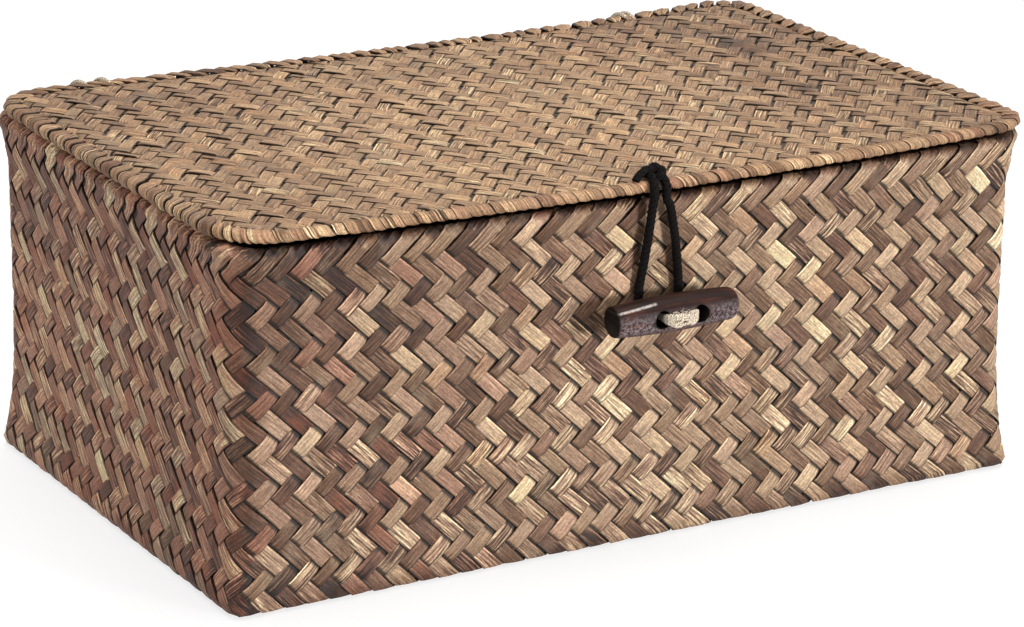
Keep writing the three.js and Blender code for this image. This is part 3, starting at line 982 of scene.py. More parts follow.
class Graph:
    """A tree of shader nodes, with short ways to add and join them."""

    def __init__(self, owner: bpy.types.Material | bpy.types.World) -> None:
        """Starts an empty tree.

        Args:
            owner: The material or surroundings that the tree belongs to.
        """
        owner.use_nodes = True
        self.owner = owner
        self.tree = owner.node_tree
        self.tree.nodes.clear()

    def node(self, kind: str, inputs: dict | None = None, **settings: object) -> bpy.types.Node:
        """Adds a node.

        Args:
            kind: The node's type, without its usual prefix.
            inputs: Values or sockets for its inputs, by name or number.
            settings: Values for its own properties.

        Returns:
            The node.
        """
        made = self.tree.nodes.new("ShaderNode" + kind)
        for name, value in settings.items():
            setattr(made, name, value)
        for name, value in (inputs or {}).items():
            if isinstance(value, Socket):
                self.tree.links.new(value, made.inputs[name])
            else:
                made.inputs[name].default_value = value
        return made

    def math(self, operation: str, *values: object) -> Socket:
        """Adds a sum, product or other calculation and gives its result."""
        return self.node("Math", dict(enumerate(values)), operation=operation).outputs[0]

    def weighted(self, first: object, weight: float, second: object, other: float) -> Socket:
        """Adds two values, each times its weight."""
        return self.math("MULTIPLY_ADD", first, weight, self.math("MULTIPLY", second, other))

    def spread(self, value: object, low: float, high: float, to_low: float, to_high: float) -> Socket:
        """Maps a range of values to another range and gives the result."""
        inputs = {"Value": value, "From Min": low, "From Max": high, "To Min": to_low, "To Max": to_high}
        return self.node("MapRange", inputs).outputs[0]

    def noise(self, place: object, scale: float, detail: float = 2.0, rough: float = 0.5) -> Socket:
        """Adds a noise pattern and gives its value."""
        inputs = {"Vector": place, "Scale": scale, "Detail": detail, "Roughness": rough}
        return self.node("TexNoise", inputs).outputs[0]

    def place(self) -> Socket:
        """Gives the place on the piece."""
        return self.node("TexCoord").outputs["Object"]

    def stretched(self, place: Socket, scale: Point) -> Socket:
        """Stretches a place for a pattern that runs one way."""
        return self.node("Mapping", {"Vector": place, "Scale": scale}).outputs[0]

    def value(self, name: str) -> Socket:
        """Reads one of the mesh's own numbers."""
        return self.node("Attribute", attribute_name=name).outputs["Fac"]

    def ramp(self, value: object, stops: tuple[tuple[float, Colour], ...]) -> Socket:
        """Adds a row of colours.

        Args:
            value: What chooses the colour.
            stops: Places in the row, with their screen colours.

        Returns:
            The colour for the value.
        """
        made = self.node("ValToRGB", {"Fac": value})
        elements = made.color_ramp.elements
        while len(elements) < len(stops):
            elements.new(1.0)
        for element, (place, colour) in zip(elements, stops):
            element.position = place
            element.color = tint(colour)
        return made.outputs[0]

    def mix(self, share: object, first: object, second: object, blend: str = "MIX") -> Socket:
        """Mixes two colours and gives the result."""
        inputs = {0: share, 6: first, 7: second}
        return self.node("Mix", inputs, data_type="RGBA", blend_type=blend).outputs[2]

    def multiplied(self, colour: Socket, *factors: Socket) -> Socket:
        """Multiplies a colour by factors and gives the result."""
        for factor in factors:
            colour = self.mix(1.0, colour, factor, "MULTIPLY")
        return colour

    def bump(self, height: object, strength: float, distance: float) -> Socket:
        """Adds a fine relief and gives its normal."""
        inputs = {"Height": height, "Strength": strength, "Distance": distance}
        return self.node("Bump", inputs).outputs[0]

    def in_view(self) -> Socket:
        """Adds a switch that is on for rays from the camera, reflections and clear materials."""
        path = self.node("LightPath").outputs
        mirrored = self.math("MAXIMUM", path["Is Glossy Ray"], path["Is Transmission Ray"])
        return self.math("MAXIMUM", path["Is Camera Ray"], mirrored)

    def close(self, surface: Socket, kind: str = "OutputMaterial") -> None:
        """Ends the tree with what it shows."""
        self.node(kind, {"Surface": surface})

    def finish(self, **inputs: object) -> bpy.types.Material:
        """Ends a material with its surface.

        Args:
            inputs: Values or sockets of the surface, with spaces in their names written as underscores.

        Returns:
            The material.
        """
        named = {name.replace("_", " "): value for name, value in inputs.items()}
        self.close(self.node("BsdfPrincipled", named).outputs[0])
        return self.owner


@dataclass(frozen=True)
class StrawFinish:
    """Dried flat leaf strips, smoked to greys and browns, with fine lines along them and painted edge shade and
    highlights.
    """

    name: str
    shades: tuple[tuple[float, Colour], ...]
    hues: tuple[tuple[float, Colour], ...] = (
        (0.0, (162, 83, 51)),
        (0.22, (152, 118, 100)),
        (0.5, (155, 134, 112)),
        (0.78, (162, 143, 112)),
        (1.0, (166, 128, 88)),
    )
    hue_share: float = 0.5
    lines: float = 0.22
    split_lines: float = 3.4
    hairs: tuple[float, float] = (0.58, 1.42)
    # Painted shade along a strip's edges: the reach across it, and how dark its lower edge gets.
    joint: tuple[float, float] = (0.11, 0.0)
    shine: float = 0.3

    def material(self) -> bpy.types.Material:
        """Makes the material."""
        graph = Graph(bpy.data.materials.new(self.name))
        strip = graph.node("UVMap", uv_map="strip").outputs[0]
        across = graph.math("FRACT", graph.node("SeparateXYZ", {0: strip}).outputs[1])
        fibre = graph.noise(graph.stretched(strip, (0.9, 8.0, 1.0)), 1.0, 3.0, 0.6)
        hair = graph.noise(graph.stretched(strip, (3.2, 30.0, 1.0)), 1.0, 2.0, 0.6)
        depth = graph.spread(graph.value("split"), 0.4, 1.8, self.lines, self.split_lines * self.lines)
        lines = graph.math("MULTIPLY", graph.spread(fibre, 0.25, 0.75, -1.0, 1.0), depth)
        colour = graph.ramp(graph.math("ADD", graph.value("tone"), lines), self.shades)
        cast = graph.ramp(graph.value("hue"), self.hues)
        colour = graph.mix(self.hue_share, colour, graph.mix(1.0, colour, cast, "OVERLAY"))
        place = graph.place()
        spots = graph.spread(graph.noise(place, 90.0, 2.0), 0.52, 0.76, 0.0, 0.45)
        colour = graph.mix(spots, colour, cast)
        grain = graph.spread(graph.noise(place, 1500.0, 2.0, 0.7), 0.3, 0.7, 0.7, 1.3)
        streak = graph.math("MULTIPLY", graph.spread(hair, 0.3, 0.7, *self.hairs), grain)
        # Painted shade along both long edges of each strip, where the gaps between strips fall into shade.
        reach, dark = self.joint
        painted_low_edge_shade = graph.spread(across, 0.0, reach, dark, 1.0)
        painted_high_edge_shade = graph.spread(across, 0.955, 0.995, 1.0, 0.15 + dark)
        # Painted highlight: a lighter line near one long edge of each strip.
        crest = graph.spread(across, 0.84, 0.92, 1.0, 1.45)
        # Painted shade where a float dives under its crossing strip, read from its height.
        end = graph.spread(graph.value("rise"), -0.1, 0.4, 0.14, 1.0)
        return graph.finish(
            Base_Color=graph.multiplied(colour, streak, painted_low_edge_shade, painted_high_edge_shade, crest, end),
            Roughness=graph.spread(fibre, 0.2, 0.8, 0.46, 0.7),
            Normal=graph.bump(graph.weighted(fibre, 1.0, hair, 0.5), 0.6, 0.0005),
            Specular_IOR_Level=self.shine,
        )


@dataclass(frozen=True)
class CaneFinish:
    """Split cane: one colour that varies along the piece, with a fine grain."""

    name: str = "split_cane"
    dark: Colour = (96, 66, 44)
    pale: Colour = (150, 112, 78)
    scale: float = 900.0
    broad_scale: float = 135.0

    def material(self) -> bpy.types.Material:
        """Makes the material."""
        graph = Graph(bpy.data.materials.new(self.name))
        place = graph.place()
        grain = graph.noise(place, self.scale, 3.0, 0.6)
        value = graph.weighted(grain, 0.6, graph.noise(place, self.broad_scale), 0.4)
        return graph.finish(
            Base_Color=graph.ramp(value, ((0.3, self.dark), (0.7, self.pale))),
            Roughness=0.5,
            Normal=graph.bump(grain, 0.5, 0.0002),
            Specular_IOR_Level=0.3,
        )


@dataclass(frozen=True)
class ToggleFinish:
    """Dark polished wood, grain along it, dusty grey plus painted sheen on the lower front, painted highlight on
    the left shoulder.
    """

    name: str = "toggle_wood"
    middle: Point = (0.0034, -0.09511, 0.0758)
    half_length: float = 0.0216
    shades: tuple[tuple[float, Colour], ...] = ((0.3, (8, 4, 4)), (0.5, (38, 19, 14)), (0.72, (90, 50, 38)))
    # Grey of the dusty speckles and the painted sheen on the lower front.
    dust_and_sheen: Colour = (170, 152, 154)
    # Colour of the painted highlight line on the left shoulder.
    painted_highlight: Colour = (212, 200, 192)
    painted_highlight_height: float = 0.0054
    painted_highlight_lean: float = -0.095

    def material(self) -> bpy.types.Material:
        """Makes the material."""
        graph = Graph(bpy.data.materials.new(self.name))
        place = graph.place()
        grain = graph.noise(graph.stretched(place, (60.0, 900.0, 900.0)), 1.0, 4.0, 0.65)
        colour = graph.ramp(graph.weighted(grain, 0.7, graph.noise(place, 120.0), 0.3), self.shades)
        offset = graph.node("VectorMath", {0: place, 1: self.middle}, operation="SUBTRACT").outputs[0]
        along, _, rise = graph.node("SeparateXYZ", {0: offset}).outputs
        # Dusty speckles plus a painted sheen of the front light on the lower front.
        dust_and_sheen = graph.spread(graph.noise(place, 1000.0, 3.0, 0.7), 0.4, 0.64, 0.0, 1.0)
        dust_and_sheen_mask = graph.math("MULTIPLY", dust_and_sheen, graph.spread(rise, -0.002, 0.003, 0.76, 0.0))
        dust_and_sheen_mask = graph.math("MULTIPLY", dust_and_sheen_mask, graph.spread(rise, -0.005, -0.003, 0.3, 1.0))
        colour = graph.mix(dust_and_sheen_mask, colour, tint(self.dust_and_sheen))
        # Painted highlight: a thin light line along the upper left shoulder.
        above = graph.math("SUBTRACT", rise, self.painted_highlight_height)
        line = graph.math("ABSOLUTE", graph.math("MULTIPLY_ADD", along, self.painted_highlight_lean, above))
        left_part = graph.spread(along, -0.0075, -0.0085, 0.0, 1.0)
        painted_highlight = graph.math("MULTIPLY", graph.spread(line, 0.0001, 0.0004, 0.8, 0.0), left_part)
        painted_highlight = graph.math("MULTIPLY", painted_highlight, graph.spread(dust_and_sheen, 0.0, 0.4, 0.4, 1.0))
        colour = graph.mix(painted_highlight, colour, tint(self.painted_highlight))
        cut_end = graph.spread(along, 0.0002 - self.half_length, 0.0008 - self.half_length, 0.05, 1.0)
        # Painted shade inside the holes.
        bore = graph.spread(graph.value("bore"), 0.0, 1.0, 1.0, 0.06)
        return graph.finish(
            Base_Color=graph.multiplied(colour, cut_end, bore),
            Roughness=graph.spread(grain, 0.3, 0.7, 0.42, 0.62),
            Normal=graph.bump(grain, 0.4, 0.0003),
            Specular_IOR_Level=0.16,
        )


@dataclass(frozen=True)
class TwineFinish:
    """Twisted plant fibre or cotton, with painted shade between its plies."""

    name: str
    groove: Colour
    crest: Colour
    roughness: float = 0.85
    fleck: float = 0.25
    shine: float = 0.2

    def material(self) -> bpy.types.Material:
        """Makes the material."""
        graph = Graph(bpy.data.materials.new(self.name))
        fibre = graph.noise(graph.place(), 2600.0, 3.0, 0.65)
        uneven = graph.spread(fibre, 0.3, 0.7, -self.fleck, self.fleck)
        # Painted shade in the grooves between plies, read from the plies' swell.
        value = graph.math("ADD", graph.value("swell"), uneven)
        return graph.finish(
            Base_Color=graph.ramp(value, ((0.2, self.groove), (0.9, self.crest))),
            Roughness=self.roughness,
            Normal=graph.bump(fibre, 0.6, 0.0002),
            Specular_IOR_Level=self.shine,
        )


@dataclass(frozen=True)
class FloorFinish:
    """A white floor that stays white in view and keeps a soft shadow."""

    name: str = "white_floor"
    bounce: float = 0.3
    shadow_share: float = 0.34
    glow: float = 0.75

    def material(self) -> bpy.types.Material:
        """Makes the material."""
        graph = Graph(bpy.data.materials.new(self.name))
        plain, seen = (
            graph.node("BsdfDiffuse", {"Color": (share, share, share, 1.0)}).outputs[0]
            for share in (self.bounce, self.shadow_share)
        )
        glow = graph.node("Emission", {"Color": WHITE, "Strength": self.glow}).outputs[0]
        white = graph.node("AddShader", {0: seen, 1: glow}).outputs[0]
        graph.close(graph.node("MixShader", {0: graph.in_view(), 1: plain, 2: white}).outputs[0])
        return graph.owner


WALL_STRAW = StrawFinish(
    "wall_straw",
    (
        (0.0, (40, 24, 16)),
        (0.25, (108, 81, 63)),
        (0.5, (168, 143, 121)),
        (0.75, (214, 196, 170)),
        (1.0, (243, 232, 208)),
    ),
)
LID_STRAW = StrawFinish(
    "lid_straw",
    (
        (0.0, (48, 32, 22)),
        (0.25, (124, 94, 70)),
        (0.5, (187, 155, 121)),
        (0.75, (230, 202, 162)),
        (1.0, (255, 242, 210)),
    ),
    lines=0.28,
    hairs=(0.5, 1.5),
    joint=(0.1, 0.1),
    hue_share=0.36,
)
BORDER_STRAW = replace(LID_STRAW, name="border_straw", joint=(0.16, 0.06))
LINING_STRAW = StrawFinish(
    "lining_straw",
    (
        (0.0, (96, 70, 52)),
        (0.3, (148, 116, 88)),
        (0.6, (186, 154, 120)),
        (1.0, (224, 200, 162)),
    ),
)
PALE_TWINE = TwineFinish("pale_twine", (104, 84, 64), (240, 226, 204), fleck=0.4)
BLACK_CORD = TwineFinish("black_cord", (5, 5, 5), (30, 27, 26), roughness=0.8, fleck=0.2, shine=0.04)


@dataclass
class Studio:
    """Camera, floor, lamps and background."""

    place: Point = (-0.62222, -1.08435, 0.46463)
    azimuth: float = -29.95
    elevation: float = 18.44
    roll: float = 0.756
    lens: float = 144.95
    sensor: float = 36.0
    clip: tuple[float, float] = (0.05, 50.0)
    floor_half: float = 6.0
    sky: float = 0.27
    lamps: tuple[tuple[str, float, float, Point], ...] = (
        ("key", 3.45, 14.0, (0.55, -1.0, 0.1)),
        ("top", 2.0, 50.0, (0.15, 0.1, 1.0)),
        ("fill", 1.1, 25.0, (-1.0, -0.35, 0.12)),
    )

    def build(self) -> None:
        """Sets up the studio."""
        bpy.context.scene.view_settings.view_transform = "Standard"
        self.camera()
        self.light()
        self.surround()
        self.floor()

    def camera(self) -> None:
        """Sets the camera at the photograph's place and angle."""
        turn, tilt, roll = (math.radians(angle) for angle in (self.azimuth, self.elevation, self.roll))
        back = Vector((math.sin(turn) * math.cos(tilt), -math.cos(turn) * math.cos(tilt), math.sin(tilt)))
        level = Vector((math.cos(turn), math.sin(turn), 0.0))
        upright = back.cross(level)
        right = math.cos(roll) * level + math.sin(roll) * upright
        up = math.cos(roll) * upright - math.sin(roll) * level
        data = bpy.data.cameras.new("camera")
        data.sensor_width = self.sensor
        data.lens = self.lens
        data.clip_start, data.clip_end = self.clip
        made = bpy.data.objects.new("camera", data)
        made.matrix_world = Matrix.Translation(self.place) @ Matrix((right, up, back)).transposed().to_4x4()
        bpy.context.scene.collection.objects.link(made)
        bpy.context.scene.camera = made

    def light(self) -> None:
        """Sets the lamps."""
        for name, energy, spread, place in self.lamps:
            data = bpy.data.lights.new(name, "SUN")
            data.energy = energy
            data.angle = math.radians(spread)
            lamp = bpy.data.objects.new(name, data)
            lamp.rotation_mode = "QUATERNION"
            lamp.rotation_quaternion = Vector(place).to_track_quat("Z", "Y")
            bpy.context.scene.collection.objects.link(lamp)

    def surround(self) -> None:
        """Sets the white surroundings, which light the box less than they show."""
        world = bpy.data.worlds.new("surroundings")
        graph = Graph(world)
        strength = graph.spread(graph.in_view(), 0.0, 1.0, self.sky, 1.0)
        background = graph.node("Background", {"Color": WHITE, "Strength": strength})
        graph.close(background.outputs[0], "OutputWorld")
        bpy.context.scene.world = world

    def floor(self) -> None:
        """Lays the floor."""
        made = bmesh.new()
        bmesh.ops.create_grid(made, x_segments=2, y_segments=2, size=self.floor_half)
        new_object(as_mesh(made, "floor"), FloorFinish().material())


def blended(first: Array, second: Array, low: float, high: float, at: Array) -> Array:
    """Goes from one line to another between two values of a parameter."""
    share = (at - low) / (high - low)
    return first * (1.0 - share) + second * share


def run_along(line: Array) -> Array:
    """Gives the distance along a line at each of its points."""
    return np.concatenate([[0.0], np.cumsum(np.linalg.norm(np.diff(line, axis=0), axis=1))])


def smooth_route(points: Array | list[Point], step: float) -> Array:
    """Runs a smooth line through points.

    Args:
        points: The points, in millimetres.
        step: Distance between the line's own points.

    Returns:
        Evenly spaced points on the line.
    """
    given = np.array(points, float)
    padded = np.vstack([2.0 * given[0] - given[1], given, 2.0 * given[-1] - given[-2]])
    pieces = []
    for number in range(len(given) - 1):
        corners = padded[number : number + 4]
        reach = np.linalg.norm(np.diff(corners, axis=0), axis=1) ** 0.5
        knot = np.concatenate([[0.0], np.cumsum(reach)])
        at = np.linspace(knot[1], knot[2], 24, endpoint=False)[:, None]
        line = [blended(corners[k], corners[k + 1], knot[k], knot[k + 1], at) for k in range(3)]
        curve = [blended(line[k], line[k + 1], knot[k], knot[k + 2], at) for k in range(2)]
        pieces.append(blended(curve[0], curve[1], knot[1], knot[2], at))
    close = np.vstack(pieces + [given[-1:]])
    run = run_along(close)
    count = max(2, int(round(run[-1] / step)) + 1)
    at = np.linspace(0.0, run[-1], count)
    return np.column_stack([np.interp(at, run, close[:, axis]) for axis in range(3)])


def knot_course(wide: float, high: float, deep: float) -> Array:
    """Gives the closed course of a three-lobed knot round the origin.

    Args:
        wide: Its size along x.
        high: Its size along y.
        deep: How far it goes in and out along z.

    Returns:
        Points along the course, the last on the first.
    """
    turns = np.linspace(0.0, FULL_TURN, 73)[:-1]
    course = np.column_stack([
        wide * (np.sin(turns) + 2.0 * np.sin(2.0 * turns)),
        high * (np.cos(turns) - 2.0 * np.cos(2.0 * turns)),
        -deep * np.sin(3.0 * turns),
    ])
    return np.vstack([course, course[:1]])


def route_frames(line: Array) -> tuple[Array, Array]:
    """Carries two cross directions along a line without twist.

    Args:
        line: Points along the line.

    Returns:
        The two directions at each point.
    """
    ways = np.gradient(line, axis=0)
    ways /= np.linalg.norm(ways, axis=1)[:, None]
    start = np.cross(ways[0], (0.31, 0.52, 0.8))
    first = [start / np.linalg.norm(start)]
    for way in ways[1:]:
        carried = first[-1] - way * np.dot(first[-1], way)
        first.append(carried / np.linalg.norm(carried))
    first = np.array(first)
    return first, np.cross(ways, first)


@dataclass(frozen=True)
class Strand:
    """A round cord of twisted plies, in millimetres; the lay is the length of one turn of a ply."""

    radius: float
    sides: int
    plies: int
    lay: float
    groove: float = 0.2
    crease: float = 60.0

    def along(self, line: Array, name: str) -> bpy.types.Mesh:
        """Lays the strand along a line.

        Args:
            line: Points along its middle.
            name: The mesh's name.

        Returns:
            The mesh, with the plies' swell as a value.
        """
        mesh = tube_blank(self.sides, len(line) - 2, name)
        unit = vertex_array(mesh)
        ring = np.rint((unit[:, 2] + 0.5) * (len(line) - 1)).astype(int)
        angle = np.arctan2(unit[:, 1], unit[:, 0])
        run = run_along(line)[ring]
        swell = np.abs(np.cos(self.plies / 2.0 * (angle - FULL_TURN * run / self.lay)))
        reach = self.radius * (1.0 - self.groove + self.groove * swell)
        first, second = route_frames(line)
        offset = np.cos(angle)[:, None] * first[ring] + np.sin(angle)[:, None] * second[ring]
        write_vertices(mesh, line[ring] + reach[:, None] * offset)
        write_values(mesh, swell=swell)
        soften(mesh, self.crease)
        return mesh


def dress(
    mesh: bpy.types.Mesh, material: bpy.types.Material, body: str, node: str
) -> bpy.types.Object:
    """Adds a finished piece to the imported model.

    Args:
        mesh: The piece's mesh, which gives its name.
        material: Its finish.
        body: The body that it moves with.
        node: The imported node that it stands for.

    Returns:
        The piece.
    """
    piece = new_object(mesh, material)
    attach(piece, body)
    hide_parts(node)
    LOG.info("%s: %d faces, on %s", piece.name, len(mesh.polygons), body)
    return piece


@dataclass
class WovenBody:
    """The base and the walls, woven in two layers, with the outer strips folded over the rim."""

    sizes: BoxSizes
    strips_round: int = 120
    skin: float = 0.55
    turn_under: float = 8.0
    first_row: float = 103.8
    fold_row: float = 105.0
    falling_top: float = 107.4
    squash: float = 0.95
    float_lead: float = 0.2
    lining_depth: float = 3.8
    lining_foot: float = 3.0
    lining_top: float = 107.0
    flat_twill: Twill = Twill(5.1, Rows.LEVEL)
    base_inset: float = 6.0
    base_level: float = 1.15
    floor_height: float = 4.0
    floor_inset: float = 3.6
    floor_drop: float = 0.5

    def build(self) -> None:
        """Weaves and dresses the body."""
        self.outer()
        self.base()
        self.lining()
        self.floor()

    def round_pitch(self, form: WallForm) -> float:
        """Gives the strips' pitch that lets a whole number of them go round a wall."""
        return 4.0 * form.quarter / self.strips_round / ROOT_TWO

    def outer(self) -> None:
        """Weaves the outer layer."""
        sizes = self.sizes
        low = sizes.base_edge - (sizes.base_edge - self.skin) * QUARTER_TURN - self.turn_under
        form = WallForm(sizes, self.skin, low, sizes.rim_top, self.first_row, self.squash)
        rising_top = form.over_rim + form.fold_end - sizes.fold_foot
        top_row = (self.fold_row - self.first_row) / self.squash
        twill = Twill(self.round_pitch(form), Rows.LEVEL, lead=self.float_lead, top_row=top_row)
        straw = WALL_STRAW.material()
        for family, top, seed in ((Family.RISING, rising_top, 11), (Family.FALLING, self.falling_top, 12)):
            weaver = Weaver(replace(form, high=top), twill, seed)
            mesh = weaver.weave("wall_strips_" + family.value, family, range(self.strips_round))
            dress(mesh, straw, "box", "outer_weave")

    def base(self) -> None:
        """Weaves the underside of the base."""
        outline = self.sizes.body_section(0.0, self.base_inset)
        form = FlatForm(self.sizes, outline, self.base_level, facing=-1)
        mesh = flat_sheet("base_strips", form, self.flat_twill, 21)
        dress(mesh, WALL_STRAW.material(), "box", "outer_weave")

    def lining(self) -> None:
        """Weaves the inner layer of the walls."""
        form = LiningForm(self.sizes, self.lining_depth, self.lining_foot, self.lining_top)
        twill = Twill(self.round_pitch(form), Rows.LEVEL)
        straw = LINING_STRAW.material()
        for family, seed in ((Family.RISING, 31), (Family.FALLING, 32)):
            weaver = Weaver(form, twill, seed)
            mesh = weaver.weave("lining_strips_" + family.value, family, range(self.strips_round))
            dress(mesh, straw, "box", "inner_weave")

    def floor(self) -> None:
        """Weaves the floor of the inner layer."""
        outline = self.sizes.body_section(self.floor_height, self.floor_inset)
        form = FlatForm(self.sizes, outline, self.sizes.wall_thickness - self.floor_drop)
        mesh = flat_sheet("floor_strips", form, self.flat_twill, 33)
        dress(mesh, LINING_STRAW.material(), "box", "inner_weave")


@dataclass
class WovenLid:
    """The lid: a woven top, a woven lining and straps wound round its rolled edge."""

    sizes: BoxSizes
    sheet_inset: float = 1.8
    sheet_level: float = 116.35
    sheet_stretch: float = 1.2
    lining_inset: float = 3.6
    lining_rise: float = 0.4
    lining_twill: Twill = Twill(5.1, Rows.UPRIGHT, lift=0.4, thickness=0.4)
    front_pitch: float = 4.0
    side_pitch: float = 6.0
    corner_pitch: float = 2.3
    front_over: float = 1.9
    side_over: float = 5.6
    corner_shorter: float = 0.6
    front_lean: float = 0.8
    side_lean: float = 0.35
    strap_depth: float = 0.3
    strap_under: float = 5.0
    strap_steps: int = 16
    strap_thickness: float = 0.36

    def build(self) -> None:
        """Weaves and dresses the lid."""
        self.top()
        self.under()
        self.border()

    def top(self) -> None:
        """Weaves the upper layer."""
        outline = self.sizes.lid_section(self.sheet_inset)
        form = LidTopForm(self.sizes, outline, self.sheet_level, stretch=self.sheet_stretch)
        twill = Twill(
            pitch=4.0,
            rows=Rows.UPRIGHT,
            cover=0.93,
            lift=0.3,
            thickness=0.34,
            crown=0.06,
            contrast=0.03,
            vary=0.6,
            wander=0.45,
        )
        straw = LID_STRAW.material()
        for family, seed in ((Family.RISING, 41), (Family.FALLING, 42)):
            weaver = Weaver(form, twill, seed)
            mesh = weaver.weave("lid_strips_" + family.value, family, form.strip_numbers(twill.pitch))
            dress(mesh, straw, "lid", "lid_upper_weave")

    def under(self) -> None:
        """Weaves the lower layer."""
        outline = self.sizes.lid_section(self.lining_inset)
        form = FlatForm(self.sizes, outline, self.sizes.lid_lining_foot + self.lining_rise, facing=-1)
        mesh = flat_sheet("lid_lining_strips", form, self.lining_twill, 51)
        dress(mesh, LINING_STRAW.material(), "lid", "lid_lower_weave")

    def border_share(self, quarters: float) -> tuple[float, float]:
        """Tells the front of the border from its other sides.

        Args:
            quarters: Way round from the middle of the front.

        Returns:
            How much the place belongs to the sides, and to the front left corner.
        """
        side = float(eased(quarters_from_front(quarters), 0.56, 0.64))
        corner = float(eased(abs(quarters - 3.38), 0.06, 0.02))
        return side, corner

    def straps(self, form: LidRollForm, rng: np.random.Generator) -> Array:
        """Lays out the border's straps round the lid: short ones over the front, long ones elsewhere.

        Args:
            form: The rolled edge.
            rng: Source of the straps' differences.

        Returns:
            Rows of the straps' middles, pitches, lengths on top, shares of the sides and of the corner.
        """
        straps = []
        at = 0.0
        while at < 4.0 * form.quarter:
            side, corner = self.border_share(at / form.quarter)
            pitch = mixed(self.front_pitch, self.side_pitch, side)
            pitch = mixed(pitch, self.corner_pitch, corner) * rng.uniform(0.7, 1.3)
            over = mixed(self.front_over, self.side_over, side * (1.0 - self.corner_shorter * corner))
            straps.append((at + pitch / 2, pitch, over * rng.uniform(0.85, 1.15), side, corner))
            at += pitch
        return np.array(straps).T

    def border(self) -> None:
        """Winds the straps round the rolled edge."""
        form = LidRollForm(self.sizes, self.strap_depth, self.strap_under)
        rng = np.random.default_rng(61)
        straps = self.straps(form, rng)
        count = straps.shape[1]
        mesh, owner = joined([ribbon_blank(self.strap_steps)] * count, "lid_border_straps")
        middle, pitch, over, is_side, is_corner = straps[:, owner]
        unit = vertex_array(mesh)
        side = unit[:, 1]
        length = form.bend + over
        up = (unit[:, 0] + 0.5) * length
        tuck = eased(up - length, -1.6, -0.1)
        taper = eased(up - length, -3.6, -0.2) * is_side
        width = pitch * (0.98 - 0.1 * is_side - 0.55 * taper)
        shift = rng.normal(0.0, 0.12, count)[owner]
        lean = mixed(self.front_lean, self.side_lean, is_side) + rng.normal(0.0, 0.06, count)[owner]
        across = middle + shift - lean * (up - form.under) - side * width
        lift = (0.3 + 0.2 * is_side) * (1.0 - 4.0 * side * side)
        lift = lift + (outer_side(unit) - 0.5) * self.strap_thickness
        lift = lift + rng.normal(0.0, 0.07, count)[owner] + mixed(0.2, -0.8, tuck)
        write_vertices(mesh, form.place(across, up, lift))
        write_uv(mesh, up / 10.0, side * 0.98 + 0.5 + owner)
        write_values(
            mesh,
            tone=0.43 - 0.06 * is_side + 0.2 * is_corner + 0.08 * rng.normal(0.0, 1.0, count)[owner],
            hue=rng.uniform(0.1, 0.65, count)[owner],
            split=rng.normal(0.0, 1.0, count)[owner],
            # A low value gives painted shade where the straps tuck under.
            rise=1.0 - 1.3 * tuck,
        )
        soften(mesh)
        dress(mesh, BORDER_STRAW.material(), "lid", "lid_upper_weave")


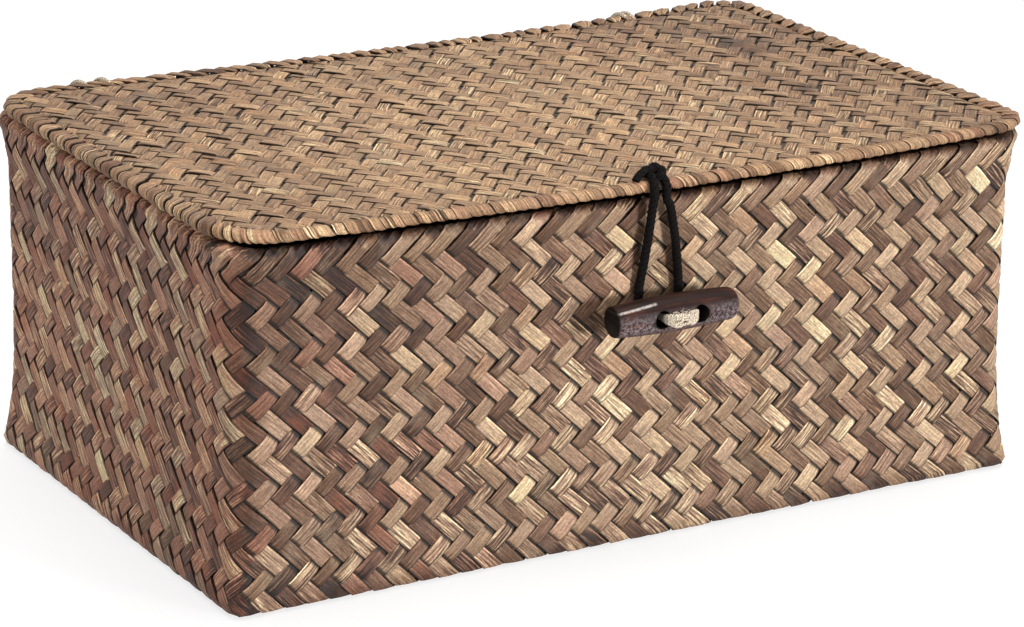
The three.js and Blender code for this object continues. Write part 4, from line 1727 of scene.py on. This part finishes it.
@dataclass
class ClosingLoop:
    """The black cord loop: its knot on the lid, two strands over the edge and a bight round the tie."""

    sizes: BoxSizes
    diameter: float = 2.6
    fullness: float = 0.56
    lay: float = 5.5
    step: float = 0.7
    gap: float = 0.3
    middle: float = 1.8
    strand_spacing: float = 4.4
    neck_spacing: float = 3.0
    bight_offset: float = 3.9
    bight_width: float = 13.8
    swell: float = 0.7
    blend_length: float = 0.007
    knot_place: Point = (2.4, 3.0, 1.9)
    tail: tuple[Point, ...] = ((-1.5, 0.2, 0.9), (-4.2, -0.4, 0.7), (-6.2, -1.0, -0.3), (-7.6, -1.5, -1.5))
    way_down: tuple[tuple[float, float], ...] = ((5.0, 1.4), (6.6, 0.6), (8.6, -1.6), (11.0, -3.8), (12.0, -6.4))
    stop_radius: float = 1.3
    stop_climb: float = 0.35
    toggle_height: float = 75.8
    toggle_diameter: float = 11.4

    @property
    def edge_reach(self) -> float:
        """Distance of the strands' middle from the middle of the lid's rolled edge."""
        return self.sizes.lid_roll + self.gap + self.diameter / 2

    def wall_y(self, height: float) -> float:
        """Gives the y of a strand that lies on the wall at a height."""
        return -float(self.sizes.body_section(height, 0.0).half_y) - self.gap - self.diameter / 2

    def neck(self, side: int) -> list[Point]:
        """Lists the points of a strand over the lid's edge, from the knot.

        Args:
            side: -1 for the left strand, 1 for the right one.

        Returns:
            The points.
        """
        roll_y = self.sizes.lid_front + self.sizes.lid_roll
        roll_z = self.sizes.lid_roll_height
        points = []
        for share in np.linspace(0.0, 1.0, 7):
            turn = QUARTER_TURN * (1.0 + share)
            spacing = mixed(self.neck_spacing, self.strand_spacing, float(eased(share)))
            points.append((
                self.middle + side * spacing / 2,
                roll_y + self.edge_reach * math.cos(turn),
                roll_z + self.edge_reach * math.sin(turn),
            ))
        return points

    def leg(self, side: int) -> list[Point]:
        """Lists the points of a leg from the lid's edge to the toggle.

        Args:
            side: -1 for the left leg, 1 for the right one.

        Returns:
            The points.
        """
        strand_x = self.middle + side * self.strand_spacing / 2
        wall_x = self.bight_offset + side * self.bight_width / 2
        edge_y = self.sizes.lid_front + self.sizes.lid_roll - self.edge_reach
        top_z = self.sizes.lid_roll_height - self.gap
        low_z = self.toggle_height + self.toggle_diameter * 0.6
        low_y = self.wall_y(low_z)
        points = [(strand_x, edge_y, top_z), (strand_x, edge_y, top_z - self.diameter)]
        for share in (0.16, 0.35, 0.6, 0.82):
            bow = self.swell * math.sin(math.pi * share) * (1.0 if side > 0 else 0.5)
            lean = max(0.0, share - 0.06) / 0.94
            points.append((
                mixed(strand_x, wall_x, share) + bow,
                mixed(edge_y, low_y, lean),
                mixed(top_z, low_z, share),
            ))
        points.append((wall_x, low_y, low_z))
        points.append((wall_x, self.wall_y(self.toggle_height), self.toggle_height))
        return points

    def route(self) -> Array:
        """Runs the cord from the knot, down one leg, round the tie and back up the other."""
        half = self.bight_width / 2
        bight = []
        for step in range(1, 8):
            turn = math.pi + math.pi * step / 8
            height = self.toggle_height + half * math.sin(turn)
            bight.append((self.bight_offset + half * math.cos(turn), self.wall_y(height), height))
        left = self.neck(-1) + self.leg(-1)
        right = self.neck(1) + self.leg(1)
        return self.sizes.settled(smooth_route(left + bight + right[::-1], self.step))

    def build(self) -> None:
        """Makes the cord and its knot."""
        knot = self.knot()
        line = self.route()
        strand = Strand(self.diameter * self.fullness, 14, 3, self.lay)
        cord = new_object(strand.along(line, "closing_loop"), BLACK_CORD.material())
        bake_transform(cord)
        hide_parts("loop_neck_left", "loop_neck_right", "loop_legs")

    def knot(self) -> bpy.types.Object:
        """Makes the knot on the lid, its tail and the part of it under the lid."""
        top = self.sizes.overall_height
        front = self.sizes.lid_front
        centre = np.array(self.knot_place) + np.array([0.0, front, top])
        stem = [(self.middle, front + back, top + height) for back, height in self.way_down]
        turns = np.linspace(0.0, FULL_TURN, 73)[:-1]
        stop = np.column_stack([
            self.middle + self.stop_radius * np.cos(turns * 2),
            front + self.way_down[-1][0] + self.stop_radius * np.sin(turns * 2),
            self.sizes.lid_underside + 0.5 - turns * self.stop_climb,
        ])
        courses = [knot_course(1.02, 1.15, 1.1) + centre, np.array(self.tail) + centre, stem, stop]
        strand = Strand(self.diameter / 2, 12, 3, self.lay)
        meshes = []
        for number, course in enumerate(courses):
            line = self.sizes.settled(smooth_route(course, self.step))
            meshes.append(strand.along(line, "knot_line_%d" % number))
        mesh, _ = joined(meshes, "loop_knot_wad")
        return dress(mesh, BLACK_CORD.material(), "lid", "loop_knot")


@dataclass
class Toggle:
    """The wooden toggle, its twine tie and the knot of the tie inside the wall."""

    sizes: BoxSizes
    middle: Point = (3.4, -95.11, 75.8)
    length: float = 43.2
    middle_diameter: float = 11.4
    end_diameter: float = 9.5
    blunt: float = 0.7
    edge: float = 0.2
    dome_share: float = 0.3
    hole_diameter: float = 5.6
    hole_spacing: float = 13.2
    worn_edge: float = 0.45
    wall_face: float = -84.11
    wall_inside: float = -79.81
    sides: int = 48
    yarns: int = 10
    yarn: Strand = Strand(0.52, 8, 2, 2.4)
    fibres: int = 60
    fibre: Strand = Strand(0.08, 5, 2, 3.0)
    knot_twine: Strand = Strand(1.1, 12, 3, 4.2)

    def build(self) -> None:
        """Makes and dresses the toggle, the tie and the knot."""
        self.barrel()
        self.tie()
        self.tie_knot()

    def radius(self, along: float) -> float:
        """Gives the barrel's radius at a distance from its middle."""
        share = along / (self.length / 2)
        return self.middle_diameter / 2 - (self.middle_diameter - self.end_diameter) / 2 * share * share

    def profile(self) -> list[tuple[float, float]]:
        """Lists the barrel's profile from its flat left end to its domed right end.

        Returns:
            Distances along the barrel with its radius there.
        """
        half = self.length / 2
        dome = self.end_diameter * self.dome_share
        tip = self.radius(half)
        profile = [(-half, 0.0), (-half, tip - self.blunt), (-half + self.edge, tip - self.edge)]
        for along in np.linspace(-half + self.blunt, half - dome, 25):
            profile.append((along, self.radius(along)))
        flat = self.radius(half - dome) - dome
        for step in range(1, 8):
            turn = QUARTER_TURN * step / 8
            profile.append((half - dome + dome * math.sin(turn), flat + dome * math.cos(turn)))
        return profile + [(half, flat), (half, 0.0)]

    def barrel(self) -> None:
        """Turns the barrel and drills its holes."""
        made = bmesh.new()
        verts = [made.verts.new((along, 0.0, reach)) for along, reach in self.profile()]
        edges = [made.edges.new(pair) for pair in zip(verts, verts[1:])]
        bmesh.ops.spin(
            made,
            geom=verts + edges,
            cent=(0.0, 0.0, 0.0),
            axis=(1.0, 0.0, 0.0),
            angle=FULL_TURN,
            steps=self.sides,
            use_merge=True,
        )
        bmesh.ops.remove_doubles(made, verts=made.verts[:], dist=0.01)
        bmesh.ops.recalc_face_normals(made, faces=made.faces[:])
        bmesh.ops.scale(made, vec=(MM, MM, MM), verts=made.verts[:])
        bmesh.ops.translate(made, vec=Vector(self.middle) * MM, verts=made.verts[:])
        mesh = self.drilled(as_mesh(made, "toggle_blank"))
        soften(mesh, 38.0)
        places = vertex_array(mesh) / MM - np.array(self.middle)
        from_hole = np.hypot(np.abs(places[:, 0]) - self.hole_spacing / 2, places[:, 2])
        # Marks the holes' walls for painted shade.
        write_values(mesh, bore=(from_hole < self.hole_diameter / 2 + 0.1).astype(float))
        dress(mesh, ToggleFinish().material(), "toggle", "toggle_bar")

    def drilled(self, blank: bpy.types.Mesh) -> bpy.types.Mesh:
        """Drills the two holes for the tie and wears the barrel's edges.

        Args:
            blank: The barrel without holes.

        Returns:
            The barrel.
        """
        drills = bmesh.new()
        for side in (-1, 1):
            place = Vector(self.middle) + Vector((side * self.hole_spacing / 2, 0.0, 0.0))
            bmesh.ops.create_cone(
                drills,
                cap_ends=True,
                segments=28,
                radius1=self.hole_diameter / 2 * MM,
                radius2=self.hole_diameter / 2 * MM,
                depth=3.0 * self.middle_diameter * MM,
                matrix=Matrix.Translation(place * MM) @ Matrix.Rotation(QUARTER_TURN, 4, "X"),
            )
        cutter = new_object(as_mesh(drills, "drills"))
        piece = new_object(blank)
        cut = piece.modifiers.new("holes", "BOOLEAN")
        cut.operation = "DIFFERENCE"
        cut.solver = "EXACT"
        cut.object = cutter
        ease = piece.modifiers.new("worn_edges", "BEVEL")
        ease.width = self.worn_edge * MM
        ease.segments = 3
        ease.limit_method = "ANGLE"
        ease.angle_limit = math.radians(42.0)
        made = bpy.data.meshes.new_from_object(piece.evaluated_get(bpy.context.evaluated_depsgraph_get()))
        made.name = "toggle_barrel"
        for helper in (piece, cutter):
            bpy.data.objects.remove(helper)
        return made

    def tie(self) -> None:
        """Lays loose yarns of twine through the holes and across the front, with stray fibres."""
        rng = np.random.default_rng(71)
        front = self.middle[1] - self.middle_diameter / 2 - 0.45
        heights = np.linspace(-1.0, 1.0, self.yarns)
        meshes = []
        for number, ends in enumerate(zip(heights, rng.permutation(heights))):
            line = self.yarn_course(ends, rng.normal(0.0, 1.0, (3, 2)), front)
            meshes.append(self.yarn.along(line, "tie_yarn_%d" % number))
        for number in range(self.fibres):
            meshes.append(self.fibre.along(self.stray_fibre(rng, front), "tie_fibre_%d" % number))
        mesh, _ = joined(meshes, "toggle_twine")
        dress(mesh, PALE_TWINE.material(), "toggle", "toggle_tie")

    def yarn_course(self, ends: tuple[float, float], turns: Array, front: float) -> Array:
        """Runs one yarn from inside the wall through both holes and back.

        Args:
            ends: Its height in the left and the right hole, from -1 to 1.
            turns: How far it strays outwards and upwards at three places on the front.
            front: The y of the tie's front.

        Returns:
            Points along the yarn.
        """
        x, y, z = self.middle
        half = self.hole_spacing / 2
        face = self.wall_face - 1.2
        back = y + self.middle_diameter / 2
        way_out = (
            (1.3, self.wall_inside, 0.6),
            (1.4, face, 0.7),
            (4.1, (face + back) / 2, 0.9),
            (half - 1.0, back, 0.7),
            (half - 1.0, y, 0.6),
            (half - 1.1, front + 2.6, 0.8),
            (half - 1.5, front + 0.8, 1.2),
        )
        left, right = (
            [(x + sign * along, place, z + spread * height) for along, place, spread in way_out]
            for sign, height in zip((-1, 1), ends)
        )
        across = []
        for at, (outwards, upwards) in zip((-2.4, 0.0, 2.4), turns):
            height = (ends[0] + ends[1]) / 2 + (ends[1] - ends[0]) * at / 6.0
            level = z + (2.5 - 0.15 * abs(at)) * height + 0.3 * upwards
            across.append((x + at, front - 0.1 - 0.4 * abs(outwards), level))
        return smooth_route(left + across + right[::-1], 0.5)

    def stray_fibre(self, rng: np.random.Generator, front: float) -> Array:
        """Curls one loose fibre out of the tie.

        Args:
            rng: Source of its shape.
            front: The y of the tie's front.

        Returns:
            Points along the fibre.
        """
        x, _, z = self.middle
        start = np.array([x + rng.uniform(-4.0, 4.0), front - 0.2, z + rng.uniform(-2.4, 2.4)])
        way = np.array([rng.normal(0.0, 0.9), -rng.uniform(0.1, 0.4), rng.normal(0.0, 0.3)])
        curl = np.array([rng.normal(0.0, 0.8), -rng.uniform(0.0, 0.2), rng.normal(0.0, 0.5)])
        points = [start + way * step + curl * step * step * 0.3 for step in (-0.5, 0.0, 0.4, 0.8, 1.2)]
        return smooth_route(points, 0.35)

    def tie_knot(self) -> None:
        """Winds the tie's knot inside the wall."""
        x, _, z = self.middle
        course = knot_course(1.05, 1.15, 1.1)[:, [0, 2, 1]] + np.array([x, self.wall_inside + 2.8, z])
        mesh = self.knot_twine.along(smooth_route(course, 0.6), "toggle_twine_knot")
        dress(mesh, PALE_TWINE.material(), "toggle", "toggle_knot")


@dataclass
class HingeTies:
    """The two twine hinges, each wound twice round the lid's edge and through the back wall."""

    sizes: BoxSizes
    axis_y: float = 86.6
    axis_z: float = 109.85
    ring: float = 7.15
    twine: Strand = Strand(0.9, 12, 3, 4.0)
    start: float = -125.0
    turns: int = 2
    steps_each: int = 24
    places: tuple[tuple[str, float, float], ...] = (("left", -104.2, 8.0), ("right", 95.0, 2.4))

    def build(self) -> None:
        """Winds and dresses both ties."""
        finish = PALE_TWINE.material()
        share = np.arange(self.steps_each * self.turns + 1) / self.steps_each
        turn = math.radians(self.start) + FULL_TURN * share
        for side, middle, pitch in self.places:
            course = np.column_stack([
                middle + pitch * (share - self.turns / 2),
                self.axis_y + self.ring * np.cos(turn),
                self.axis_z + self.ring * np.sin(turn),
            ])
            line = self.sizes.settled(smooth_route(course, 0.6))
            mesh = self.twine.along(line, "hinge_twine_" + side)
            dress(mesh, finish, "box", "hinge_tie_" + side)


@dataclass
class CaneHoops:
    """The cane hoops inside the rim and inside the lid's edge."""

    sizes: BoxSizes
    cane: Strand = Strand(0.9, 10, 2, 1000.0)
    points_round: int = 481

    def build(self) -> None:
        """Bends and dresses both hoops."""
        sizes = self.sizes
        rim_height = sizes.rim_top - sizes.rim_roll
        rim = sizes.body_section(rim_height, sizes.rim_roll)
        lid = sizes.lid_section(sizes.lid_roll)
        finish = CaneFinish().material()
        for node, body, outline, height in (
            ("rim_cane", "box", rim, rim_height),
            ("lid_cane", "lid", lid, sizes.lid_roll_height),
        ):
            x, y, _, _ = outline.point(np.linspace(0.0, 4.0, self.points_round))
            line = sizes.settled(np.column_stack([x, y, np.full_like(x, height)]))
            dress(self.cane.along(line, node + "_hoop"), finish, body, node)


def main() -> None:
    """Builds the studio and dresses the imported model."""
    logging.basicConfig(level=logging.INFO, format="%(message)s")
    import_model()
    sizes = BoxSizes()
    Studio().build()
    for assembly in (ClosingLoop, WovenBody, WovenLid, Toggle, HingeTies, CaneHoops):
        assembly(sizes).build()


if __name__ == "__main__":
    main()
